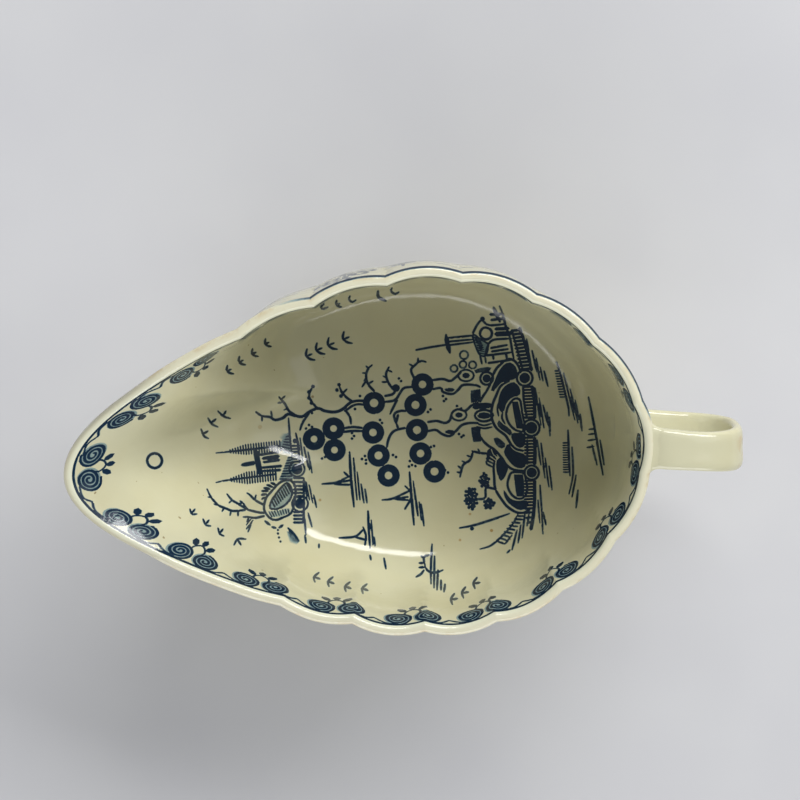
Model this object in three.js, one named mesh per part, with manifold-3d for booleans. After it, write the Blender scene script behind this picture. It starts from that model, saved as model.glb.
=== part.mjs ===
// A press-moulded sauceboat in glazed pottery, standing on its foot.
// Millimetres, +Z up. The spout points along -X and the handle along +X.
import * as THREE from "three";
import Module from "manifold-3d";
import { mergeVertices } from "three/addons/utils/BufferGeometryUtils.js";

const wasm = await Module();
wasm.setup();

// Driving sizes of the bowl
const BODY_LENGTH = 167.6; // spout tip to the back of the rim
const MIDDLE_WIDTH = 101.9; // across the rim, halfway along
const RIM_HEIGHT = 59.5; // the table to the rim beside the middle
const SPOUT_RISE = 12.5; // how far the spout tip stands above that
const BACK_RISE = 1.3; // and the back of the rim
const WALL = 3.2; // thickness at the rim
const FLOOR = 4; // thickness of the bottom
const WELL_LENGTH = 56; // the flat middle of the floor
const WELL_WIDTH = 26;
const WELL_OFFSET = 12; // from the middle of the body towards the handle
const LIP_TURN = 1.8; // how far the rim turns out over the wall below it
const LIP_HEIGHT = 12; // the height over which it does so
const BELLY = 0.3; // how far the sides swell at mid-height

// Shape of the plan: an egg, narrow at the spout
const PLAN_TAPER = 0.37;
const PLAN_FULLNESS = 0.126;
const PLAN_PINCH = 0.176;
const SPOUT_RISE_POWER = 2.9;
const BACK_RISE_POWER = 4;

// Shape of the wall: how square it turns up from the floor, and how far the spout flares
const SIDE_ROUNDNESS = 5.6;
const BACK_ROUNDNESS = 3;
const SPOUT_ROUNDNESS = 2;
const SPOUT_FLARE = 0.28;
const SPOUT_STRAIGHTNESS = 0.3;
const SPOUT_BLEND = [0.61, 0.88]; // shares of the way to the spout tip over which its shape takes over
const BACK_BLEND_POWER = 3;
const FLARE_POWER = 3;

// The scalloped rim: wider lobes round the left and the back, then narrower ones on the right
const LEFT_LOBES = 8;
const RIGHT_LOBES = 5;
const RIGHT_PITCH = 21.4; // the left lobes share what is left of the rim
const PLAIN_RIM_LEFT = 67; // from the spout tip to the first scallop, on the +Y side
const PLAIN_RIM_RIGHT = 75.7; // and on the -Y side
const LOBE_DEPTH = 1.8;
const LOBE_LIFT = 0.7; // how much higher the rim stands at the middle of a lobe
const LOBE_INSET = 0.5; // share of the depth that lies inside the plain outline
const LOBE_BACK_FADE = 0.65; // share of the depth that is lost at the back
const LOBE_FADE_POWER = 3;
const LOBE_SETTLING = [-0.5, 0.3]; // lobes from the first cusp, over which the rim draws in
const LOBE_FADE_SHARE = 0.6; // share of the climb below which the lobes have faded out

// The foot
const FOOT_HEIGHT = 6;
const FOOT_THICKNESS = 4.4;
const FOOT_CLIMB_SHARE = 0.045; // where the foot meets the wall, from 0 at the well to 1 at the rim
const FOOT_SPLAY = 0.8; // how far the foot's outer face leans out towards the table
const FOOT_EDGE = 0.7; // chamfer along the table edge

// The handle, a strap bent into a loop
const HANDLE_REACH = 27.4; // from the back of the rim to the outermost face
const HANDLE_SIDESTEP = 1; // how far its roots stand to the -Y side of the middle
const HANDLE_SKEW = 3; // how much further the loop leans that way at its outer end
const STRAP_THICKNESS = 4.2;
const STRAP_ROOT_WIDTH = 12;
const STRAP_WAIST_WIDTH = 11.3;
const STRAP_BEND_WIDTH = 12.4;
const STRAP_END_WIDTH = 10.2;
const STRAP_WIDTH_PLACES = { waist: 0.2, bend: 0.4, narrowing: 0.5, end: 0.8 }; // shares of its length
const STRAP_ROOT_BELOW_RIM = 4.6; // the rim at the back to the middle of the strap's upper root
const STRAP_RISE = 3; // how far the strap rises from its root to the top of the loop
const LOOP_HEIGHT = 32.5; // top of the loop to its underside, measured at the middle of the strap
const LOOP_DEPTH = 20; // the length over which the loop bends
const LOOP_SQUARENESS = 2.6;

// Slip fillets and the gap between neighbours
const LUTE = 2.2; // how far a handle fillet spreads over the wall
const LUTE_EDGE = 0.6; // its thickness where it runs out
const LUTE_LENGTH = 3.8; // how far it climbs along the strap
const FOOT_LUTE_HEIGHT = 2;
const FOOT_LUTE_SPREAD = 1.8;
const GAP = 0.3;

// How finely the shapes are divided
const STEPS_PER_LOBE = 4;
const SPOUT_STEP = 5.5;
const WALL_ROWS = 12;
const ROW_CROWDING = 1.8; // draws the rows together towards the rim
const RIM_ROWS = 5;
const LOOP_STEPS = 26;
const LEAD_STEPS = 5;
const SECTION_CORNER_STEPS = 3;
const LUTE_STEPS = 8;
const HALVINGS = 30;
const NUDGE = 1e-4;

const FLOOR_TOP = FOOT_HEIGHT + FLOOR;
const GLAZE = { color: 0xdfe0cc, roughness: 0.12, metalness: 0 };

// The plan seen from above, as a closed curve from the spout tip round the +Y side.
class Plan extends THREE.Curve {
  getPoint(share, target = new THREE.Vector3()) {
    const turn = share * 2 * Math.PI;
    const c = Math.cos(turn);
    const swell = 1 - PLAN_TAPER * c - PLAN_FULLNESS * c ** 2 + PLAN_PINCH * c ** 3;
    return target.set((-BODY_LENGTH / 2) * c, (MIDDLE_WIDTH / 2) * swell * Math.sin(turn), 0);
  }
}

const plan = new Plan();
plan.arcLengthDivisions = 1440;
const planLength = plan.getLength();
const lobes = LEFT_LOBES + RIGHT_LOBES;
const rightStart = planLength - PLAIN_RIM_RIGHT - RIGHT_PITCH * RIGHT_LOBES;
const leftPitch = (rightStart - PLAIN_RIM_LEFT) / LEFT_LOBES;

// The shape of the wall at a turn, mixed from the shapes at the spout, the sides and the back.
function wallShape(turn) {
  const spout = THREE.MathUtils.smoothstep((1 + Math.cos(turn)) / 2, ...SPOUT_BLEND);
  const back = ((1 - Math.cos(turn)) / 2) ** BACK_BLEND_POWER;
  const side = 1 - spout - back;
  return {
    roundness: SIDE_ROUNDNESS * side + SPOUT_ROUNDNESS * spout + BACK_ROUNDNESS * back,
    flare: SPOUT_FLARE * spout,
    straightness: SPOUT_STRAIGHTNESS * spout,
    belly: BELLY * side,
  };
}

// The place among the lobes, counted from the first scallop on the left.
function lobePlace(distance) {
  return distance < rightStart
    ? (distance - PLAIN_RIM_LEFT) / leftPitch
    : LEFT_LOBES + (distance - rightStart) / RIGHT_PITCH;
}

// The scallop at a distance along the rim: 0 on the plain outline, up to the lobe depth.
function lobeAt(distance, turn) {
  const place = lobePlace(distance);
  const smooth = THREE.MathUtils.smoothstep;
  const settled = smooth(place, ...LOBE_SETTLING) * smooth(lobes - place, ...LOBE_SETTLING);
  const inside = place > 0 && place < lobes;
  const across = 2 * (place - Math.floor(place)) - 1;
  const bulge = inside ? 1 - across ** 2 : 0;
  const fade = 1 - LOBE_BACK_FADE * ((1 - Math.cos(turn)) / 2) ** LOBE_FADE_POWER;
  return (bulge - LOBE_INSET * settled) * fade;
}

function rimHeight(turn) {
  const spout = ((1 + Math.cos(turn)) / 2) ** SPOUT_RISE_POWER;
  const back = ((1 - Math.cos(turn)) / 2) ** BACK_RISE_POWER;
  return RIM_HEIGHT + SPOUT_RISE * spout + BACK_RISE * back;
}

// A station round the bowl: its turn, its place on the plan, the way out and its scallop.
function station(distance) {
  const share = plan.getUtoTmapping(0, distance);
  const turn = share * 2 * Math.PI;
  const point = plan.getPoint(share);
  const ahead = plan.getPoint(share + NUDGE);
  const out = new THREE.Vector3(point.y - ahead.y, ahead.x - point.x, 0).normalize();
  return { turn, point, out, lobe: lobeAt(distance, turn) };
}

// A point of the bowl's inner face. The climb runs from 0 at the well to 1 at the rim.
function innerPoint(at, climb) {
  const shape = wallShape(at.turn);
  const angle = (climb * Math.PI) / 2;
  const power = 2 / shape.roundness;
  const sine = Math.sin(angle);
  const fall = 1 - Math.max(0, Math.cos(angle)) ** power;
  const outward = (1 - shape.flare) * sine ** power
    + shape.flare * (1 - Math.cos(angle)) ** FLARE_POWER;
  const upward = (1 - shape.straightness) * fall + shape.straightness * sine ** 2;
  const wallHeight = rimHeight(at.turn) - WALL / 2 - FLOOR_TOP;
  const lip = Math.max(0, 1 - (wallHeight * (1 - upward)) / LIP_HEIGHT) ** 2;
  const swell = Math.sin(Math.PI * upward) ** 2;
  const depth = THREE.MathUtils.smoothstep(climb, LOBE_FADE_SHARE, 1) * at.lobe;
  const well = new THREE.Vector3(
    WELL_OFFSET - (WELL_LENGTH / 2) * Math.cos(at.turn),
    (WELL_WIDTH / 2) * Math.sin(at.turn),
    0,
  );
  const rim = at.point.clone().addScaledVector(at.out, -WALL - LIP_TURN);
  const point = well.lerp(rim, outward);
  point.addScaledVector(at.out, lip * LIP_TURN + swell * shape.belly + depth * LOBE_DEPTH);
  point.z = FLOOR_TOP + wallHeight * upward + depth * LOBE_LIFT;
  return point;
}

// The way out of the wall, square to its inner face, and the way up along that face.
function wallDirections(distance, climb) {
  const along = innerPoint(station(distance + NUDGE * planLength), climb)
    .sub(innerPoint(station(distance), climb));
  const low = Math.min(climb, 1 - NUDGE);
  const here = station(distance);
  const up = innerPoint(here, low + NUDGE).sub(innerPoint(here, low)).normalize();
  const out = new THREE.Vector3().crossVectors(along, up).normalize();
  return { out: out.multiplyScalar(-1), up };
}

function thickness(climb) {
  return WALL + (FLOOR - WALL) * (1 - climb);
}

// A point of the bowl's outer face, moved out by a clearance.
function outerPoint(distance, climb, clearance = 0) {
  const { out } = wallDirections(distance, climb);
  return innerPoint(station(distance), climb).addScaledVector(out, thickness(climb) + clearance);
}

// The columns round the bowl, as distances along the plan, with one on every cusp of the rim.
function columnDistances() {
  const spread = (from, length, steps) => Array.from(
    { length: steps },
    (_, index) => from + (length * index) / steps,
  );
  return [
    ...spread(0, PLAIN_RIM_LEFT, Math.ceil(PLAIN_RIM_LEFT / SPOUT_STEP)),
    ...spread(PLAIN_RIM_LEFT, leftPitch * LEFT_LOBES, STEPS_PER_LOBE * LEFT_LOBES),
    ...spread(rightStart, RIGHT_PITCH * RIGHT_LOBES, STEPS_PER_LOBE * RIGHT_LOBES),
    ...spread(planLength - PLAIN_RIM_RIGHT, PLAIN_RIM_RIGHT, Math.ceil(PLAIN_RIM_RIGHT / SPOUT_STEP)),
  ];
}

const columns = columnDistances();
const climbs = Array.from(
  { length: WALL_ROWS + 1 },
  (_, row) => 1 - (1 - row / WALL_ROWS) ** ROW_CROWDING,
);

// A closed solid from rings of points, with the rings' ends closed by a fan round their middles.
function loft(rings, firstMiddle, lastMiddle) {
  const size = rings[0].length;
  const points = [...rings.flat(), firstMiddle, lastMiddle];
  const first = points.length - 2;
  const last = points.length - 1;
  const faces = [];
  for (let column = 0; column < size; column += 1) {
    const next = (column + 1) % size;
    for (let row = 0; row + 1 < rings.length; row += 1) {
      const a = row * size + column;
      const b = row * size + next;
      faces.push(a, b, b + size, a, b + size, a + size);
    }
    const end = (rings.length - 1) * size;
    faces.push(first, next, column, last, end + column, end + next);
  }
  return meshGeometry(points, faces);
}

// A closed ring: the sections follow each other round a closed path.
function ringLoft(sections) {
  const size = sections[0].length;
  const faces = [];
  sections.forEach((section, index) => {
    const here = index * size;
    const there = ((index + 1) % sections.length) * size;
    section.forEach((_, corner) => {
      const next = (corner + 1) % size;
      faces.push(here + corner, there + corner, there + next);
      faces.push(here + corner, there + next, here + next);
    });
  });
  return meshGeometry(sections.flat(), faces);
}

// A geometry with its faces turned out, whichever way they were listed.
function meshGeometry(points, faces) {
  let volume = 0;
  for (let index = 0; index < faces.length; index += 3) {
    const [a, b, c] = [0, 1, 2].map((corner) => points[faces[index + corner]]);
    volume += new THREE.Vector3().crossVectors(a, b).dot(c);
  }
  const geometry = new THREE.BufferGeometry().setFromPoints(points);
  geometry.setIndex(volume < 0 ? faces.toReversed() : faces);
  geometry.computeVertexNormals();
  return geometry;
}

function solid(geometry) {
  const bare = geometry.clone();
  bare.deleteAttribute("normal");
  const merged = mergeVertices(bare);
  return new wasm.Manifold(new wasm.Mesh({
    numProp: 3,
    vertProperties: merged.attributes.position.array,
    triVerts: new Uint32Array(merged.index.array),
  }));
}

function fromSolid(body) {
  const { vertProperties, triVerts } = body.getMesh();
  const geometry = new THREE.BufferGeometry();
  geometry.setAttribute("position", new THREE.BufferAttribute(vertProperties, 3));
  geometry.setIndex(new THREE.BufferAttribute(triVerts, 1));
  geometry.computeVertexNormals();
  return geometry;
}

// The bowl: up the outer face, over the round rim and down the inner face.
function bodyGeometry() {
  const outer = climbs.map((climb) => columns.map((distance) => outerPoint(distance, climb)));
  const inner = climbs.map((climb) => columns.map(
    (distance) => innerPoint(station(distance), climb),
  ));
  const rim = Array.from({ length: RIM_ROWS }, (_, row) => {
    const angle = (Math.PI * (row + 1)) / (RIM_ROWS + 1);
    return columns.map((distance) => rimPoint(distance, angle));
  });
  const middle = (height) => new THREE.Vector3(WELL_OFFSET, 0, height);
  return loft(
    [...outer, ...rim, ...inner.toReversed()],
    middle(FOOT_HEIGHT),
    middle(FLOOR_TOP),
  );
}

// A point of the round edge, from 0 at the outer face to PI at the inner one.
function rimPoint(distance, angle) {
  const { out, up } = wallDirections(distance, 1);
  const radius = WALL / 2;
  return innerPoint(station(distance), 1)
    .addScaledVector(out, radius * (1 + Math.cos(angle)))
    .addScaledVector(up, radius * Math.sin(angle));
}

// The bowl filled to above its rim and grown by the gap, for fitting what is stuck to it.
function bowlEnvelope() {
  const rows = climbs.map((climb) => columns.map((distance) => outerPoint(distance, climb, GAP)));
  const collar = rows.at(-1).map((point) => point.clone().add(new THREE.Vector3(0, 0, 2 * WALL)));
  const top = RIM_HEIGHT + SPOUT_RISE + 2 * WALL;
  return solid(loft(
    [...rows, collar],
    new THREE.Vector3(WELL_OFFSET, 0, FOOT_HEIGHT - GAP),
    new THREE.Vector3(WELL_OFFSET, 0, top),
  ));
}

// Stations round the foot, with the way out across its wall and the bowl's height above it.
function footStations() {
  const places = columns.map((distance) => outerPoint(distance, FOOT_CLIMB_SHARE));
  return places.map((place, index) => {
    const before = places.at(index - 1);
    const after = places[(index + 1) % places.length];
    const out = new THREE.Vector3(before.y - after.y, after.x - before.x, 0).normalize();
    return { place, out };
  });
}

// A section across the foot's wall, from pairs of distance outwards and height.
function footSection({ place, out }, corners) {
  return corners.map(([across, height]) => {
    const point = new THREE.Vector3(place.x, place.y, height);
    return point.addScaledVector(out, across);
  });
}

function footGeometry(envelope) {
  const half = FOOT_THICKNESS / 2;
  const sections = footStations().map((at) => footSection(at, [
    [-half, at.place.z + FOOT_HEIGHT],
    [-half, FOOT_EDGE],
    [-half + FOOT_EDGE, 0],
    [half + FOOT_SPLAY - FOOT_EDGE, 0],
    [half + FOOT_SPLAY, FOOT_EDGE],
    [half, at.place.z],
    [half, at.place.z + FOOT_HEIGHT],
  ]));
  return fromSolid(solid(ringLoft(sections)).subtract(envelope));
}

function footLuteGeometry(envelope) {
  const near = FOOT_THICKNESS / 2 + GAP;
  const sections = footStations().map((at) => footSection(at, [
    [near + FOOT_SPLAY * (FOOT_LUTE_HEIGHT / at.place.z), at.place.z - FOOT_LUTE_HEIGHT],
    [near + LUTE_EDGE + FOOT_SPLAY / 2, at.place.z - FOOT_LUTE_HEIGHT],
    [near + FOOT_LUTE_SPREAD, at.place.z + FOOT_LUTE_SPREAD],
    [near, at.place.z + FOOT_LUTE_SPREAD],
    [near, at.place.z],
  ]));
  return fromSolid(solid(ringLoft(sections)).subtract(envelope));
}

// The climb at which the back of the bowl reaches a height, found by halving.
function backClimb(height) {
  let low = 0;
  let high = 1;
  for (let step = 0; step < HALVINGS; step += 1) {
    const middle = (low + high) / 2;
    if (outerPoint(planLength / 2, middle).z < height) {
      low = middle;
    } else {
      high = middle;
    }
  }
  return (low + high) / 2;
}

const strapTop = rimHeight(Math.PI) - STRAP_ROOT_BELOW_RIM + STRAP_RISE;
const upperRoot = outerPoint(planLength / 2, backClimb(strapTop - STRAP_RISE));
const lowerRoot = outerPoint(planLength / 2, backClimb(strapTop - LOOP_HEIGHT));

// The strap's middle line: out from the wall, round the loop and back to the wall.
function strapPath() {
  const outermost = BODY_LENGTH / 2 + HANDLE_REACH - STRAP_THICKNESS / 2;
  const bendStart = outermost - LOOP_DEPTH;
  const middle = strapTop - LOOP_HEIGHT / 2;
  const power = 2 / LOOP_SQUARENESS;
  const points = [];
  const skewAt = (x) => -HANDLE_SIDESTEP - HANDLE_SKEW * THREE.MathUtils.clamp(
    (x - upperRoot.x) / (outermost - upperRoot.x),
    0,
    1,
  );
  const lead = (root, height, sign) => {
    for (let step = 0; step < LEAD_STEPS; step += 1) {
      const share = step / LEAD_STEPS;
      const x = root.x - STRAP_THICKNESS + (bendStart - root.x + STRAP_THICKNESS) * share;
      const dip = sign > 0 ? STRAP_RISE * (1 - share) ** 2 : 0;
      points.push(new THREE.Vector3(x, skewAt(x), height - dip));
    }
  };
  lead(upperRoot, strapTop, 1);
  for (let step = 0; step <= LOOP_STEPS; step += 1) {
    const angle = Math.PI * (0.5 - step / LOOP_STEPS);
    const sine = Math.sin(angle);
    const x = bendStart + LOOP_DEPTH * Math.max(0, Math.cos(angle)) ** power;
    const z = middle + (LOOP_HEIGHT / 2) * Math.sign(sine) * Math.abs(sine) ** power;
    points.push(new THREE.Vector3(x, skewAt(x), z));
  }
  const back = points.length;
  lead(lowerRoot, strapTop - LOOP_HEIGHT, -1);
  return [...points.slice(0, back), ...points.slice(back).toReversed()];
}

const strapCurve = new THREE.CatmullRomCurve3(strapPath(), false, "centripetal");
const strapLength = strapCurve.getLength();

// The strap's width along it: narrowest after the root, widest at the bend.
function strapWidth(share) {
  const mix = THREE.MathUtils.lerp;
  const ease = THREE.MathUtils.smoothstep;
  const { waist, bend, narrowing, end } = STRAP_WIDTH_PLACES;
  const start = mix(STRAP_ROOT_WIDTH, STRAP_WAIST_WIDTH, ease(share, 0, waist));
  const middle = mix(start, STRAP_BEND_WIDTH, ease(share, waist, bend));
  return mix(middle, STRAP_END_WIDTH, ease(share, narrowing, end));
}

// A section across the strap, grown by a clearance, with rounded edges.
function strapSection(share, growth) {
  const centre = strapCurve.getPointAt(share);
  const tangent = strapCurve.getTangentAt(share);
  const across = new THREE.Vector3(0, 1, 0).addScaledVector(tangent, -tangent.y).normalize();
  const through = new THREE.Vector3().crossVectors(tangent, across);
  const halfThick = STRAP_THICKNESS / 2;
  const flat = strapWidth(share) / 2 - halfThick;
  const radius = halfThick + growth;
  const section = [];
  for (const side of [1, -1]) {
    for (let step = 0; step <= 2 * SECTION_CORNER_STEPS; step += 1) {
      const angle = (Math.PI * step) / (2 * SECTION_CORNER_STEPS) - Math.PI / 2;
      section.push(centre.clone()
        .addScaledVector(across, side * (flat + radius * Math.cos(angle)))
        .addScaledVector(through, side * radius * Math.sin(angle)));
    }
  }
  return section;
}

// The strap between two shares of its length, with a growth that may change on the way.
function strapLoft(from, to, steps, growthAt) {
  const sections = Array.from({ length: steps + 1 }, (_, index) => {
    const share = from + ((to - from) * index) / steps;
    return strapSection(share, growthAt(share));
  });
  return loft(sections, strapCurve.getPointAt(from), strapCurve.getPointAt(to));
}

function handleGeometry(envelope) {
  const strap = solid(strapLoft(0, 1, LOOP_STEPS + 2 * LEAD_STEPS, () => 0));
  return fromSolid(strap.subtract(envelope));
}

// A slip fillet round the strap where it meets the wall, thinning out along the strap.
function luteGeometry(envelope, root, fromStart) {
  const rootShare = (STRAP_THICKNESS * (fromStart ? 1 : -1)) / strapLength + (fromStart ? 0 : 1);
  const reach = ((LUTE + LUTE_LENGTH) * (fromStart ? 1 : -1)) / strapLength;
  const start = fromStart ? 0 : 1;
  const end = rootShare + reach;
  const growthAt = (share) => {
    const out = THREE.MathUtils.clamp((share - rootShare) / reach, 0, 1);
    return GAP + LUTE_EDGE + (LUTE - LUTE_EDGE) * (1 - out) ** 2;
  };
  const collar = solid(strapLoft(start, end, LUTE_STEPS, growthAt));
  const core = solid(strapLoft(0, 1, LOOP_STEPS + 2 * LEAD_STEPS, () => GAP));
  return fromSolid(collar.subtract(core).subtract(envelope));
}

function part(name, geometry) {
  const mesh = new THREE.Mesh(geometry, new THREE.MeshStandardMaterial(GLAZE));
  mesh.name = name;
  return mesh;
}

const envelope = bowlEnvelope();
const sauceboat = new THREE.Group();
sauceboat.name = "sauceboat";
sauceboat.position.x = -(BODY_LENGTH / 2 + HANDLE_REACH + rimPoint(0, 0).x) / 2;
sauceboat.add(
  part("body", bodyGeometry()),
  part("foot_ring", footGeometry(envelope)),
  part("foot_lute", footLuteGeometry(envelope)),
  part("handle", handleGeometry(envelope)),
  part("handle_upper_lute", luteGeometry(envelope, upperRoot, true)),
  part("handle_lower_lute", luteGeometry(envelope, lowerRoot, false)),
);

export default sauceboat;
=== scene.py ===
"""A glazed pottery sauceboat painted in underglaze blue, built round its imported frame."""

import logging
import math
from collections.abc import Sequence
from dataclasses import dataclass, field
from enum import Enum

import bpy
import numpy as np
from mathutils import Matrix, Vector
from mathutils.bvhtree import BVHTree
from mathutils.geometry import barycentric_transform, delaunay_2d_cdt

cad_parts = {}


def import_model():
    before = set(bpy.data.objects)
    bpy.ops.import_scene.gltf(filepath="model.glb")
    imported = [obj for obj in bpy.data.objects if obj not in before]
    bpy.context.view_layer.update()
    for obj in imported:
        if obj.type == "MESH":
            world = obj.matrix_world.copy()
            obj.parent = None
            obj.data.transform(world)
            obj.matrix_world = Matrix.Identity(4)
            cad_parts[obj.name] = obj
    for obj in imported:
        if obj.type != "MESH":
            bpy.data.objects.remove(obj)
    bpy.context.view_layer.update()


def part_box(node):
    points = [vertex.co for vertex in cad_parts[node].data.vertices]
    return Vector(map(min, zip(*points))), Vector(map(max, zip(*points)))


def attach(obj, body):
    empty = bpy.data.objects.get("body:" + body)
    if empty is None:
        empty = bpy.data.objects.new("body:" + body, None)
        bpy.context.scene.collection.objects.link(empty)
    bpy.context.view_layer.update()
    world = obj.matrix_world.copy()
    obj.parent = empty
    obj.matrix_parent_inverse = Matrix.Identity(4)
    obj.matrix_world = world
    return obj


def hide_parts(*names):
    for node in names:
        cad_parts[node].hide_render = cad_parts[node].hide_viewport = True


log = logging.getLogger("sauceboat")

MM = 0.001
FULL_TURN = 2 * math.pi
TURN_COUNT = 20001  # stored turns round the rim, a fiftieth of a millimetre apart
HALVINGS = 36  # of the search for a place's spread on the paper

Point = tuple[float, float]
Points = Sequence[Point] | Sequence[float]  # pairs, or across and down by turns
Segment = tuple[Point, Point]
Socket = bpy.types.NodeSocket


def smoothstep(value: np.ndarray, low: float, high: float) -> np.ndarray:
    """Ease from 0 at the low value to 1 at the high one."""
    share = np.clip((value - low) / (high - low), 0, 1)
    return share * share * (3 - 2 * share)


def unit(vectors: np.ndarray) -> np.ndarray:
    """Scale vectors to length 1."""
    return vectors / np.linalg.norm(vectors, axis=-1, keepdims=True)


def round_angles(count: int) -> np.ndarray:
    """Evenly spaced angles round a circle."""
    return np.linspace(0, FULL_TURN, count, endpoint=False)


def lengths_along(path: np.ndarray) -> np.ndarray:
    """Distance along a path at each of its points."""
    return np.concatenate([[0], np.cumsum(np.linalg.norm(np.diff(path, axis=0), axis=1))])


def respaced(path: np.ndarray, count: int) -> np.ndarray:
    """The same path with a number of evenly spaced points."""
    along = lengths_along(path)
    return np.stack([np.interp(np.linspace(0, along[-1], count), along, axis) for axis in path.T], -1)


def fillet_curve(low: Sequence[float], corner: Sequence[float], high: Sequence[float],
                 count: int) -> np.ndarray:
    """A hollow curve.

    Args:
        low: where it starts.
        corner: what it is drawn towards.
        high: where it ends.
        count: how many points it has.

    Returns:
        The points.
    """
    low, corner, high = map(np.array, (low, corner, high))
    share = np.linspace(0, 1, count)[:, None]
    return low * (1 - share) ** 2 + corner * 2 * share * (1 - share) + high * share**2


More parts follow.
